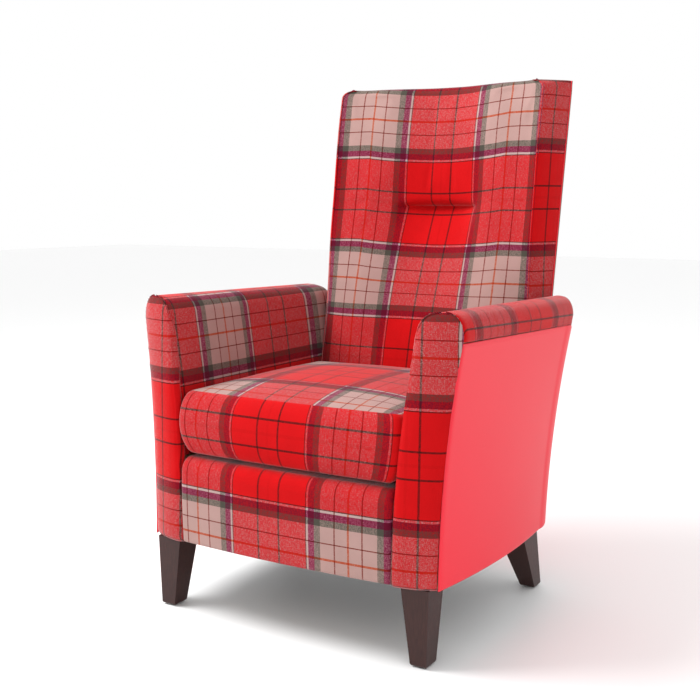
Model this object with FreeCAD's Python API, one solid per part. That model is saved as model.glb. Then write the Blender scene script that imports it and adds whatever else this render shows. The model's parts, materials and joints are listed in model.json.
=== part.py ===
import FreeCAD, Part
import math
import os

# Fireside chair with a high winged back, a loose seat cushion and upholstered arms.
# Lengths are millimetres and angles are degrees. Z is up, the seat faces -Y, and X runs across.
# The origin is on the floor, halfway along the depth and in the middle of the width.

# Overall sizes
height = 1120.0
depth = 796.0
skirt = 151.0

# Layers of the upholstery
cover = 2.5
board = 3.0
fit_gap = 0.5

# Back: a raked, bowed rear panel with a padded front
back_rake = 10.8
back_bow = 38.0
back_half = 297.0
back_seam_half = 264.0
back_round = 20.0
roll_half = 180.0
hollow_half = 95.0
# Share of the back's height, then its thickness at the middle, at the side rolls and at the seams
back_profile = (
    (0.00, 70.0, 76.0, 66.0),
    (0.15, 71.0, 78.0, 67.0),
    (0.29, 66.0, 82.0, 63.0),
    (0.39, 56.0, 82.0, 66.0),
    (0.50, 31.0, 75.0, 77.0),
    (0.60, 9.0, 70.0, 84.0),
    (0.70, 25.0, 66.0, 86.0),
    (0.80, 34.0, 69.0, 91.0),
    (0.91, 36.0, 72.0, 95.0),
    (1.00, 34.0, 72.0, 92.0),
)
tuck_height = 838.0
tuck_half = 115.0
tuck_depth = 26.0
tuck_mouth = 12.0

# Arms
seat_half = 249.0
arm_width = 83.0
arm_top = 655.0
arm_flare = 37.0
arm_round = 45.0
arm_inner_round = 36.0
arm_outer_round = 26.0
arm_fall = 0.020
arm_corner_depth = 95.0
arm_corner_share = 0.50
arm_corner_gap = 2.0
arm_bulge_low = 17.0
arm_bulge_high = 2.0
arm_spread = 20.0
facing_turn = 15.8
facing_lean = 1.2
facing_setback = 6.0
arm_seam = 604.0
arm_seam_fall = 0.036
arm_foam = 20.0
arm_top_foam = 25.0
facing_foam = 12.0

# Seat
deck_top = 330.0
deck_foam = 23.0
cloth = 2.0
hem = 7.0
apron_bow = 10.0
apron_round = 26.0
apron_foam = 19.5
cushion_gap = 1.0
cushion_half = 251.0
cushion_edge = 135.0
cushion_crown = 24.0
cushion_rear_gap = 6.0
cushion_front_round = 26.0
cushion_bottom_round = 18.0
cushion_setback = 8.0
cushion_lean = 11.0
cushion_front_bulge = 5.0
cushion_end_round = 14.0
cushion_rear_rake = 10.0

# Zip of the seat cushion
zip_length = 420.0
zip_tape = 30.0
zip_chain = 6.0
zip_chain_rise = 1.6
slider_length = 11.0
slider_wall = 1.0
slider_gap = 0.3
pull_length = 16.0

# Timber frame
timber = 25.0
curved_rail = 22.0
webbing = 1.5
webbing_width = 60.0
webbing_spacing = 110.0
upright_width = 26.0
upright_depth = 36.0
upright_top_gap = 25.0
upright_setin = 6.0
upright_seam_gap = 15.0
top_rail_height = 50.0
lumbar_rail_height = 45.0
stuffing_rail_height = 50.0
bottom_rail_height = 50.0
front_rail_height = 149.0
rear_rail_height = 85.0
side_rail_height = 92.0
side_rail_width = 28.0
side_rail_rear_gap = 8.0
block_height = 45.0
post_depth = 40.0
block_depth = 82.0
arm_rail_height = 32.0
inner_rail_height = 35.0
inner_rail_width = 20.0
rear_post_setback = 60.0
rear_post_depth = 35.0
rear_post_inset = 14.0
rail_lap = 13.0
arm_rail_width = 42.0

# Seat springs
spring_count = 5
spring_spacing = 90.0
spring_wire = 3.6
spring_half = 25.0
spring_pitch = 30.0
spring_play = 0.4
clip_plate = 1.2
clip_width = 24.0
clip_tail = 12.0
clip_grip = 6.0

# Legs and their hardware
glide_thick = 3.0
glide_radius = 10.0
nail_radius = 1.4
nail_length = 14.0
leg_chamfer = 3.0
# Reach of each leg's sides: from the seat's edge outwards, then from the front or rear of the frame
front_foot_reach = (33.0, 67.0, 23.0, 62.0)
front_top_reach = (13.0, 71.0, 21.0, 82.0)
rear_foot_reach = (45.0, 79.0, -55.2, -20.2)
rear_top_reach = (16.0, 79.0, -134.2, -55.2)
bolt_radius = 4.0
bolt_in_leg = 40.0
nut_barrel_radius = 5.5
nut_barrel = 14.0
nut_flange_radius = 11.0
nut_flange = 1.6

# Sizes that follow from the ones above
front_y = -depth / 2
rear_top_y = depth / 2 - back_bow
bow_radius = (back_half ** 2 + back_bow ** 2) / (2 * back_bow)
back_foot = deck_top + cushion_gap
arm_shoulder = arm_top - arm_round
face_y = front_y + facing_setback
panel = cover + board
clip_rise = spring_wire + spring_play + 2 * clip_plate + fit_gap
web_face = panel + curved_rail + webbing
block_top = skirt + block_height
front_rail_top = skirt + front_rail_height
upright_inner = min(seat_half, back_seam_half - upright_seam_gap) - upright_setin
rail_face_y = front_y + apron_bow + cover + apron_foam
far = 2000.0


def point(x, y, z):
    return FreeCAD.Vector(x, y, z)


def box(x0, x1, y0, y1, z0, z1):
    return Part.makeBox(x1 - x0, y1 - y0, z1 - z0, point(x0, y0, z0))


def cylinder(radius, x, y, z0, z1):
    return Part.makeCylinder(radius, z1 - z0, point(x, y, z0), point(0, 0, 1))


def arc(a, b, c):
    return Part.Arc(a, b, c).toShape()


def loft(wires, ruled):
    return Part.makeLoft(wires, True, ruled)


def mirrored(shape):
    return shape.mirror(point(0, 0, 0), point(1, 0, 0))


def side_plate(outline, x0, x1):
    """A flat outline in Y and Z, made as thick as the stretch from x0 to x1."""
    corners = [point(x0, y, z) for y, z in outline]
    face = Part.Face(Part.makePolygon(corners + corners[:1]))
    return face.extrude(point(x1 - x0, 0, 0))


def joined(shapes):
    return Part.makeCompound(shapes)


def largest(shape):
    """The one real solid of a cut, without the slivers that a cut can leave."""
    return max(shape.Solids, key=lambda solid: solid.Volume)


# Rear surface of the chair

def rear_line(z):
    """Y of the rear panel's side edges at a height."""
    return rear_top_y - (height - z) * math.tan(math.radians(back_rake))


def bow_at(x):
    """How far the bowed rear panel stands behind its side edges."""
    return math.sqrt(bow_radius ** 2 - x ** 2) - (bow_radius - back_bow)


def rear_section(near, deep, half, z):
    base = rear_line(z)
    outer = [point(x, base + bow_at(x) - near, z) for x in (-half, 0, half)]
    inner = [point(x, base + bow_at(x) - deep, z) for x in (half, 0, -half)]
    edges = [arc(*outer), Part.makeLine(outer[2], inner[0]), arc(*inner), Part.makeLine(inner[2], outer[0])]
    return Part.Wire(edges)


def rear_layer(near, deep, half, z0, z1):
    """A bowed, raked layer between two depths behind the rear surface."""
    return loft([rear_section(near, deep, half, z) for z in (z0, z1)], True)


def behind(deep):
    """Everything behind a layer, used to trim what meets it."""
    return rear_layer(-far / 10, deep, back_half, skirt - 50, height + 50)


# Back

def back_section(z, middle, roll, seam, skin):
    """Plan outline of the back: two side rolls with a hollow between them."""
    base = rear_line(z)
    seam_x = min(back_seam_half, arm_inner(z) - fit_gap) - skin
    rear_x = back_half - skin
    seam_y = base - seam + skin
    roll_y = base - roll + skin
    middle_y = base - middle + skin
    turn_y = middle_y + (roll_y - middle_y) * 0.42
    rear_y = base + 2 * back_bow
    right = [point(seam_x, seam_y, z), point(roll_half, roll_y, z), point(hollow_half, turn_y, z)]
    left = [point(-p.x, p.y, z) for p in reversed(right)]
    edges = [
        arc(*left),
        arc(right[0], right[1], right[2]),
        arc(left[0], point(0, middle_y, z), right[2]),
    ]
    rear_right = point(rear_x, base, z)
    rear_left = point(-rear_x, base, z)
    far_right = point(rear_x, rear_y, z)
    far_left = point(-rear_x, rear_y, z)
    edges += [
        Part.makeLine(right[0], rear_right),
        Part.makeLine(rear_right, far_right),
        Part.makeLine(far_right, far_left),
        Part.makeLine(far_left, rear_left),
        Part.makeLine(rear_left, left[2]),
    ]
    return Part.Wire(Part.__sortEdges__(edges))


def tuck_groove(skin):
    """The sewn tuck across the back, a groove that is deepest in the middle."""
    base = rear_line(tuck_height)
    surface = base - 17.0
    deep = surface + tuck_depth + skin
    ends = surface - 22.0
    sections = []
    for x, apex, mouth in ((-tuck_half, ends, 2.0), (0.0, deep, tuck_mouth), (tuck_half, ends, 2.0)):
        reach = 60.0
        half = (mouth + skin) * 1.6
        corners = [
            point(x, apex, tuck_height),
            point(x, apex - reach, tuck_height + half),
            point(x, apex - reach, tuck_height - half),
        ]
        sections.append(Part.makePolygon(corners + corners[:1]))
    return loft(sections, True)


def back_body(skin):
    """The padded back in front of the rear panel, drawn in by a skin's thickness."""
    top = height - skin
    shoulder = top - back_round
    sections = []
    for share, middle, roll, seam in back_profile:
        z = back_foot + share * (shoulder - back_foot)
        sections.append(back_section(z, middle, roll, seam, skin))
    share, middle, roll, seam = back_profile[-1]
    for angle in (40, 68, 90):
        drop = back_round * (1 - math.cos(math.radians(angle)))
        z = shoulder + back_round * math.sin(math.radians(angle))
        sections.append(back_section(z, middle - drop, roll - drop, seam - drop, skin))
    return loft(sections, True).cut(tuck_groove(skin)).cut(behind(panel))


def back_side_space():
    """The sides of the back and what lies behind them, in plain form, to trim the arms."""
    shoulder = height - back_round
    wires = []
    for share, drop in ((0.0, 30.0), (0.0, 0.0), (0.15, 0.0), (0.29, 0.0), (0.39, 0.0), (0.50, 0.0)):
        seam = [row[3] for row in back_profile if row[0] == share][0]
        z = back_foot + share * (shoulder - back_foot)
        base = rear_line(z)
        seam_x = min(back_seam_half, arm_inner(z) - fit_gap) + fit_gap
        sides = [
            (0, base - seam - fit_gap),
            (seam_x, base - seam - fit_gap),
            (back_half + fit_gap, base - panel - fit_gap),
            (back_half + fit_gap, base + far / 10),
            (0, base + far / 10),
        ]
        corners = [point(x, y, z - drop) for x, y in sides]
        wires.append(Part.makePolygon(corners + corners[:1]))
    return loft(wires, True)


def back_uprights():
    """Two raked posts that run from the bottom rail to the top of the back."""
    top = height - upright_top_gap
    outline = []
    for y_shift, z in ((-upright_depth, skirt), (30.0, skirt), (30.0, top), (-upright_depth, top)):
        outline.append((rear_line(z) + y_shift, z))
    post = side_plate(outline, upright_inner, upright_inner + upright_width)
    return largest(post.cut(behind(panel)))


def back_rail(z0, z1):
    """A rail sawn to the bow of the back, between the uprights."""
    return rear_layer(panel, panel + curved_rail, upright_inner, z0, z1)


def back_webbing():
    """Elastic straps from the stuffing rail to the top rail, in front of the rails."""
    sheet = rear_layer(panel + curved_rail, web_face, upright_inner, deck_top + 20.0, height - upright_top_gap)
    straps = []
    for place in (-1.5, -0.5, 0.5, 1.5):
        x = place * webbing_spacing
        strip = box(x - webbing_width / 2, x + webbing_width / 2, -far, far, 0, far)
        straps.append(largest(sheet.common(strip)))
    return joined(straps)


# Arms

def arm_share(z):
    return max(0.0, min(1.0, (z - skirt) / (arm_shoulder - skirt)))


def arm_inner(z):
    """X of an arm's inner face at a height."""
    return seat_half + arm_flare * arm_share(z) ** 2


def facing_y(x, z, skin):
    """Y of the plane of the arm's turned, slightly leaning front."""
    turned = (x - seat_half) * math.tan(math.radians(facing_turn))
    return face_y + turned + (z - skirt) * math.tan(math.radians(facing_lean)) + skin


def front_space(skin):
    """Everything in front of a layer of the arm's front."""
    corners = []
    for x, z in ((-far / 10, -far / 10), (far / 2, -far / 10), (far / 2, far), (-far / 10, far)):
        corners.append(point(x, facing_y(x, z, skin), z))
    return Part.Face(Part.makePolygon(corners + corners[:1])).extrude(point(0, -far, 0))


def arm_outline(low, inner_skin, outer_skin, top_skin, tuck_in, drop):
    """Front outline of an arm as X and Z: inner face, rounded top and outer face down to a level."""
    turn = math.sqrt(0.5)
    crest = arm_top - top_skin - drop
    shoulder = arm_shoulder - (top_skin + drop) / 2
    shoulder_in = arm_inner(arm_shoulder) + inner_skin
    shoulder_out = arm_inner(arm_shoulder) + arm_width - outer_skin - tuck_in
    crest_in = shoulder_in + arm_inner_round * (shoulder_out - shoulder_in) / arm_width
    crest_out = shoulder_out - arm_outer_round * (shoulder_out - shoulder_in) / arm_width
    rise = crest - shoulder
    middle = (low + shoulder) / 2
    return {
        "low_in": (arm_inner(low) + inner_skin, low),
        "mid_in": (arm_inner(middle) + inner_skin, middle),
        "shoulder_in": (shoulder_in, shoulder),
        "turn_in": (crest_in - (crest_in - shoulder_in) * turn, shoulder + rise * turn),
        "crest_in": (crest_in, crest),
        "crest_out": (crest_out, crest),
        "turn_out": (crest_out + (shoulder_out - crest_out) * turn, shoulder + rise * turn),
        "shoulder_out": (shoulder_out, shoulder),
        "mid_out": (arm_inner(middle) + arm_width - outer_skin - tuck_in, middle),
        "low_out": (arm_inner(low) + arm_width - outer_skin - tuck_in, low),
    }


def outline_wire(outline, place):
    spot = {name: place(x, z) for name, (x, z) in outline.items()}
    return Part.Wire([
        arc(spot["low_in"], spot["mid_in"], spot["shoulder_in"]),
        arc(spot["shoulder_in"], spot["turn_in"], spot["crest_in"]),
        Part.makeLine(spot["crest_in"], spot["crest_out"]),
        arc(spot["crest_out"], spot["turn_out"], spot["shoulder_out"]),
        arc(spot["shoulder_out"], spot["mid_out"], spot["low_out"]),
        Part.makeLine(spot["low_out"], spot["low_in"]),
    ])


def arm_plate(skin, inset, thick):
    """A layer of the arm's front: the outline, drawn in, on the turned plane."""
    outline = arm_outline(skirt, inset, inset, inset, 0.0, 0.0)
    wire = outline_wire(outline, lambda x, z: point(x, facing_y(x, z, skin), z))
    return Part.Face(wire).extrude(point(0, thick, 0))


def arm_hood(low, inner_skin, outer_skin, top_skin, rear_skin):
    """The arm above a level, along its length, with a rounded rear end."""
    end = rear_line(arm_shoulder) - rear_skin
    length = end - front_y
    wires = []
    for back_off, tuck_in, drop in ((length, 0, 0), (55, 0, 0), (22, 5, 4), (6, 16, 12), (0, 27, 22)):
        y = end - back_off
        fall = arm_fall * (y - front_y)
        outline = arm_outline(low, inner_skin, outer_skin, top_skin, tuck_in, drop + fall)
        wires.append(outline_wire(outline, lambda x, z, y=y: point(x, y, z)))
    return loft(wires, True)


def side_points(z, skin):
    """Plan points of the arm's outer side: front, bow, rounded rear corner, rear."""
    share = arm_share(z)
    front = arm_inner(z) + arm_width - skin
    rear_x = front + arm_spread * (1 - share)
    bulge = arm_bulge_low + (arm_bulge_high - arm_bulge_low) * share
    corner = min(arm_corner_share * (rear_x - arm_inner(z)), rear_x - back_half - arm_corner_gap)
    rear = rear_line(z) - skin
    begin = rear - arm_corner_depth
    return [
        point(front, front_y, z),
        point((front + rear_x) / 2 + bulge, (front_y + begin) / 2, z),
        point(rear_x, begin, z),
        point(rear_x - 0.28 * corner, rear - 0.33 * arm_corner_depth, z),
        point(rear_x - corner, rear, z),
        point(back_half, rear, z),
    ]


def side_strip(near, deep):
    """A layer of the arm's outer side, bowed in plan and wrapped round the rear corner."""
    wires = []
    for share in (0.0, 0.25, 0.5, 0.75, 1.0):
        z = skirt + share * (arm_shoulder - skirt)
        out = side_points(z, near)
        back = side_points(z, deep)
        wires.append(Part.Wire([
            arc(out[0], out[1], out[2]),
            arc(out[2], out[3], out[4]),
            Part.makeLine(out[4], out[5]),
            Part.makeLine(out[5], back[5]),
            Part.makeLine(back[5], back[4]),
            arc(back[4], back[3], back[2]),
            arc(back[2], back[1], back[0]),
            Part.makeLine(back[0], out[0]),
        ]))
    return loft(wires, True)


def below_seam():
    """The space below the seam along the outer side of the arm."""
    def seam(y):
        return arm_seam - arm_seam_fall * (y - front_y)
    ends = (front_y - 50.0, rear_top_y + 100.0)
    outline = [(ends[0], 0.0), (ends[1], 0.0), (ends[1], seam(ends[1])), (ends[0], seam(ends[0]))]
    return side_plate(outline, seat_half + arm_flare + 6.0, far)


# Seat cushion

def cushion_rear(z):
    """Y of the cushion's raked rear face, just clear of the side rolls of the back."""
    foot = rear_line(back_foot) - back_profile[0][2] - cushion_rear_gap
    return foot + (z - back_foot) * math.tan(math.radians(cushion_rear_rake))


def cushion_section(x, inset, skin):
    """Side outline of the cushion: front wall, crowned top, raked rear and flat underside."""
    share = min(1.0, abs(x) / cushion_half)
    low = deck_top + cushion_gap + inset * 0.7 + skin
    edge = deck_top + cushion_gap + cushion_edge - inset - skin
    crown = cushion_crown * (1 - share ** 2 * 0.75)
    front = front_y + cushion_setback + inset + skin
    rear_rate = math.tan(math.radians(cushion_rear_rake))
    foot_rear = cushion_rear(back_foot) - inset - skin
    round_low = cushion_bottom_round * 0.6
    lean = cushion_lean

    def rear(z):
        return foot_rear + (z - back_foot) * rear_rate

    def place(y, z):
        return point(x, y, z)

    top_start = place(front + lean + cushion_front_round, edge)
    top_end = place(rear(edge) - cushion_front_round, edge)
    half_turn = 1 - math.sqrt(0.5)
    edges = [
        Part.makeLine(place(foot_rear - round_low, low), place(front + cushion_bottom_round, low)),
        arc(place(front + cushion_bottom_round, low),
            place(front + cushion_bottom_round * half_turn, low + cushion_bottom_round * half_turn),
            place(front, low + cushion_bottom_round)),
        arc(place(front, low + cushion_bottom_round),
            place(front + lean / 2 - cushion_front_bulge, (low + edge) / 2),
            place(front + lean, edge - cushion_front_round)),
        arc(place(front + lean, edge - cushion_front_round),
            place(front + lean + cushion_front_round * half_turn, edge - cushion_front_round * half_turn),
            top_start),
        arc(top_start, place((top_start.y + top_end.y) / 2, edge + crown), top_end),
        arc(top_end,
            place(rear(edge) - cushion_front_round * 0.25, edge - cushion_front_round * 0.3),
            place(rear(edge - cushion_front_round), edge - cushion_front_round)),
        Part.makeLine(place(rear(edge - cushion_front_round), edge - cushion_front_round),
                      place(rear(low + round_low), low + round_low)),
        arc(place(rear(low + round_low), low + round_low),
            place(foot_rear - round_low * half_turn, low + round_low * half_turn),
            place(foot_rear - round_low, low)),
    ]
    return Part.Wire(edges)


def cushion_body(skin):
    """The whole seat cushion, drawn in by a skin's thickness, with eased ends."""
    half = cushion_half - skin
    r = cushion_end_round
    main_half = half - r
    body = loft([cushion_section(main_half * k / 3, 0, skin) for k in (-3, -2, -1, 0, 1, 2, 3)], False)
    steps = ((main_half, 0.0), (half - 0.6 * r, 0.09 * r), (half - 0.22 * r, 0.4 * r), (half, r))
    for side in (-1, 1):
        body = body.fuse(loft([cushion_section(side * x, inset, skin) for x, inset in steps], False))
    return body


def on_cushion_rear(shape):
    """Places a shape made flat, facing +Y at the origin, on the cushion's raked rear face."""
    middle = back_foot + cushion_edge * 0.48
    placed = shape.copy()
    placed.rotate(point(0, 0, 0), point(1, 0, 0), -cushion_rear_rake)
    placed.translate(point(0, cushion_rear(middle), middle))
    return placed


def zip_body():
    tape = box(-zip_length / 2, zip_length / 2, -cover, 0, -zip_tape / 2, zip_tape / 2)
    chain = box(-zip_length / 2, zip_length / 2, 0, zip_chain_rise, -zip_chain / 2, zip_chain / 2)
    return on_cushion_rear(tape.fuse(chain).removeSplitter())


def zip_slider():
    """A channel over the chain with a flat pull, at the closed end."""
    end = -zip_length / 2 + 6.0
    half = zip_chain / 2 + slider_gap + slider_wall
    roof = zip_chain_rise + slider_gap
    shell = box(end, end + slider_length, slider_gap, roof + slider_wall, -half, half)
    bore = box(end - 1, end + slider_length + 1, 0, roof, -half + slider_wall, half - slider_wall)
    pull = box(end + 3, end + 8, roof + slider_wall, roof + 2 * slider_wall, -pull_length, 2)
    return on_cushion_rear(shell.cut(bore).fuse(pull).removeSplitter())


# Apron and deck

def apron_section(x, skin):
    share = 1 - (x / seat_half) ** 2
    front = front_y + apron_bow * (1 - share) + skin
    top = deck_top - skin
    back = rail_face_y
    shelf = front_rail_top + clip_rise
    ledge = back + timber + 11.0
    r = apron_round - skin
    half_turn = 1 - math.sqrt(0.5)
    edges = [
        Part.makeLine(point(x, back, skirt), point(x, front, skirt)),
        Part.makeLine(point(x, front, skirt), point(x, front, top - r)),
        arc(point(x, front, top - r),
            point(x, front + r * half_turn, top - r * half_turn),
            point(x, front + r, top)),
        Part.makeLine(point(x, front + r, top), point(x, ledge, top)),
        Part.makeLine(point(x, ledge, top), point(x, ledge, shelf)),
        Part.makeLine(point(x, ledge, shelf), point(x, back, shelf)),
        Part.makeLine(point(x, back, shelf), point(x, back, skirt)),
    ]
    return Part.Wire(edges)


def apron_body(skin):
    reach = seat_half - fit_gap
    return loft([apron_section(x, skin) for x in (-reach, -reach / 2, 0, reach / 2, reach)], False)


# Springs

def sinuous_spring(x, y0, y1, z):
    """One zig-zag wire spring, a tube along straight runs and half turns."""
    turns = int((y1 - y0) / spring_pitch)
    radius = (y1 - y0) / turns / 2
    run = spring_half - radius
    edges = [Part.makeLine(point(x - run, y0, z), point(x + run, y0, z))]
    for turn in range(turns):
        side = 1 if turn % 2 == 0 else -1
        low = y0 + 2 * radius * turn
        mid = low + radius
        high = mid + radius
        bend = radius * math.sqrt(0.5)
        end_x = x + side * run
        tip = point(end_x + side * radius, mid, z)
        edges.append(arc(point(end_x, low, z), point(end_x + side * bend, mid - bend, z), tip))
        edges.append(arc(tip, point(end_x + side * bend, mid + bend, z), point(end_x, high, z)))
        edges.append(Part.makeLine(point(end_x, high, z), point(x - side * run, high, z)))
    path = Part.Wire(edges)
    circle = Part.Circle(point(x - run, y0, z), point(1, 0, 0), spring_wire / 2).toShape()
    return path.makePipeShell([Part.Wire(circle)], True, False)


def spring_clip(x, y, rail_top, opening):
    """A steel strap folded over the spring's end run, nailed to the rail."""
    inner = spring_wire + spring_play
    grip = opening * clip_grip
    tail = opening * clip_tail
    thick = opening * clip_plate
    outline = [
        (y - tail, rail_top),
        (y + grip, rail_top),
        (y + grip, rail_top + inner + 2 * clip_plate),
        (y - grip, rail_top + inner + 2 * clip_plate),
        (y - grip, rail_top + inner + clip_plate),
        (y + grip - thick, rail_top + inner + clip_plate),
        (y + grip - thick, rail_top + clip_plate),
        (y - tail, rail_top + clip_plate),
    ]
    half = clip_width / 2
    return side_plate(outline, x - half, x + half)


# Legs

def leg_shape(foot, top):
    """A four-sided leg that tapers from the frame to the foot, with an eased foot."""
    def rectangle(sides, inset, z):
        x0, x1, y0, y1 = sides
        corners = [
            point(x0 + inset, y0 + inset, z),
            point(x1 - inset, y0 + inset, z),
            point(x1 - inset, y1 - inset, z),
            point(x0 + inset, y1 - inset, z),
        ]
        return Part.makePolygon(corners + corners[:1])
    share = leg_chamfer / (skirt - glide_thick)
    eased = [f + (t - f) * share for f, t in zip(foot, top)]
    low = loft([rectangle(foot, leg_chamfer / 2, glide_thick),
                rectangle(eased, 0, glide_thick + leg_chamfer)], True)
    high = loft([rectangle(eased, 0, glide_thick + leg_chamfer), rectangle(top, 0, skirt)], True)
    return low.fuse(high)


def leg_sides(reach, base_y):
    """The four sides of a leg's end, from its reach beside the seat and from the frame's front or rear."""
    return seat_half + reach[0], seat_half + reach[1], base_y + reach[2], base_y + reach[3]


def centre(sides):
    return (sides[0] + sides[1]) / 2, (sides[2] + sides[3]) / 2


def leg_bolt(x, y):
    return cylinder(bolt_radius, x, y, skirt - bolt_in_leg, block_top - 3.0)


def tee_nut(x, y):
    flange = cylinder(nut_flange_radius, x, y, block_top - nut_flange, block_top)
    barrel = cylinder(nut_barrel_radius, x, y, block_top - nut_barrel, block_top - nut_flange)
    hole = cylinder(bolt_radius, x, y, block_top - nut_barrel - 1, block_top + 1)
    return flange.fuse(barrel).cut(hole)


def glide(x, y):
    disc = cylinder(glide_radius, x, y, 0, glide_thick)
    nail = cylinder(nail_radius, x, y, glide_thick, glide_thick + nail_length)
    return disc.fuse(nail)


# Assembly

parts = {}


def add_pair(name, shape):
    """Keeps a piece of the right side and its mirror image."""
    parts["right_" + name] = shape
    parts["left_" + name] = mirrored(shape)


def arm_front_post():
    """The post behind the arm's front, sawn to the arm's outline."""
    levels = (block_top, front_rail_top, (front_rail_top + arm_shoulder) / 2, arm_shoulder)
    wires = []
    top = arm_top - arm_top_foam - cover
    for z in levels + (top,):
        inner = arm_inner(z) + cover + arm_foam
        if z <= front_rail_top:
            inner = seat_half + rail_lap
        outer = arm_inner(z) + arm_width - panel
        rear = front_y + post_depth + 3 * facing_foam
        sides = [(inner, front_y), (outer, front_y), (outer, rear), (inner, rear)]
        corners = [point(x, y, z) for x, y in sides]
        wires.append(Part.makePolygon(corners + corners[:1]))
    return loft(wires, True).cut(front_space(cover + facing_foam))


def rear_post_front(z):
    return rear_line(z) - rear_post_setback - rear_post_depth


def arm_rear_post():
    """A raked post on the side rail, in front of the rounded rear corner."""
    wires = []
    low = block_top + side_rail_height
    top = arm_top - arm_top_foam - cover - arm_fall * depth
    for z in (low, (low + top) / 2, top):
        inner = arm_inner(z) + cover + arm_foam
        outer = arm_inner(z) + arm_width + arm_spread * (1 - arm_share(z)) - rear_post_inset
        front = rear_post_front(z)
        rear = front + rear_post_depth
        sides = [(inner, front), (outer, front), (outer, rear), (inner, rear)]
        corners = [point(x, y, z) for x, y in sides]
        wires.append(Part.makePolygon(corners + corners[:1]))
    return loft(wires, True)


def build_arm():
    back_space = back_side_space()
    rear_space = behind(panel)
    lower = below_seam()
    level = back_foot
    add_pair("arm_facing_cover", arm_plate(0, 0, cover))
    add_pair("arm_facing_pad", arm_plate(cover, cover + 3 * fit_gap, facing_foam))

    hood = arm_hood(level, 0, 0, 0, 0)
    lining = arm_hood(level - 20.0, cover, cover, cover, cover)
    skin = hood.cut(lining).cut(lower).cut(front_space(cover))
    add_pair("inside_arm_cover", largest(skin.cut(back_space)))
    outside = side_strip(0, cover).cut(front_space(cover)).common(lower)
    add_pair("outside_arm_cover", largest(outside.cut(rear_space)))
    plate = side_strip(cover, panel).cut(front_space(cover + facing_foam)).common(lower)
    add_pair("side_board", largest(plate.cut(rear_space)))

    front_post = arm_front_post()
    rear_post = arm_rear_post()
    post_rear = front_post.BoundBox.YMax
    behind_rear_post = rear_post_space()
    add_pair("arm_front_post", front_post)
    add_pair("arm_rear_post", rear_post)
    rail_top = arm_top - arm_top_foam - cover - arm_fall * depth
    x0 = arm_inner(arm_shoulder) + cover + arm_foam + fit_gap
    rail = box(x0, x0 + arm_rail_width, post_rear, far, rail_top - arm_rail_height, rail_top)
    add_pair("arm_top_rail", largest(rail.cut(behind_rear_post)))
    x0 = arm_inner(level + inner_rail_height) + cover + arm_foam
    rail = box(x0, x0 + inner_rail_width, post_rear, far, level, level + inner_rail_height)
    add_pair("arm_stuffing_rail", largest(rail.cut(behind_rear_post)))
    x0 = upright_inner + upright_width
    rail_end = rear_line(block_top) - side_rail_rear_gap
    rail = box(x0, x0 + side_rail_width, post_rear, rail_end, block_top, block_top + side_rail_height)
    add_pair("side_seat_rail", rail)

    core = arm_hood(level - 20.0, cover + arm_foam, panel, cover + arm_top_foam, cover + arm_foam)
    foam = lining.cut(core).cut(lower).cut(box(0, far, -far, far, 0, level))
    foam = foam.cut(front_space(cover + facing_foam)).cut(back_space)
    for name in ("arm_front_post", "arm_rear_post", "arm_top_rail", "arm_stuffing_rail"):
        foam = foam.cut(parts["right_" + name])
    add_pair("arm_pad", largest(foam))


def rear_post_space():
    """The space from the arm rear post's raked front face backwards."""
    outline = [(rear_post_front(z), z) for z in (0.0, height)]
    outline += [(far, height), (far, 0.0)]
    return side_plate(outline, 0, far)


def build_back():
    whole = back_body(0)
    lining = back_body(cover)
    skin = whole.cut(lining)
    seam_x = back_seam_half - cover / 2
    edge = box(seam_x, far, -far, far, 0, far)
    upright = back_uprights()
    top_rail_top = height - upright_top_gap
    hollow = rear_layer(-far / 10, web_face, upright_inner, skirt, top_rail_top)
    parts["inside_back_cover"] = largest(skin.cut(edge).cut(mirrored(edge)))
    add_pair("back_border", largest(skin.common(edge)))
    add_pair("back_upright", upright)
    pad = lining.cut(hollow).cut(upright).cut(mirrored(upright))
    parts["back_pad"] = largest(pad)
    parts["outside_back_cover"] = rear_layer(0, cover, back_half, skirt, height)
    parts["back_board"] = rear_layer(cover, panel, back_half, skirt, height)
    parts["back_top_rail"] = back_rail(top_rail_top - top_rail_height, top_rail_top)
    half_rail = lumbar_rail_height / 2
    parts["back_lumbar_rail"] = back_rail(tuck_height - half_rail, tuck_height + half_rail)
    low = deck_top + 20.0
    parts["back_stuffing_rail"] = back_rail(low, low + stuffing_rail_height)
    parts["rear_bottom_rail"] = back_rail(skirt, skirt + bottom_rail_height)
    parts["back_webbing"] = back_webbing()


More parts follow.
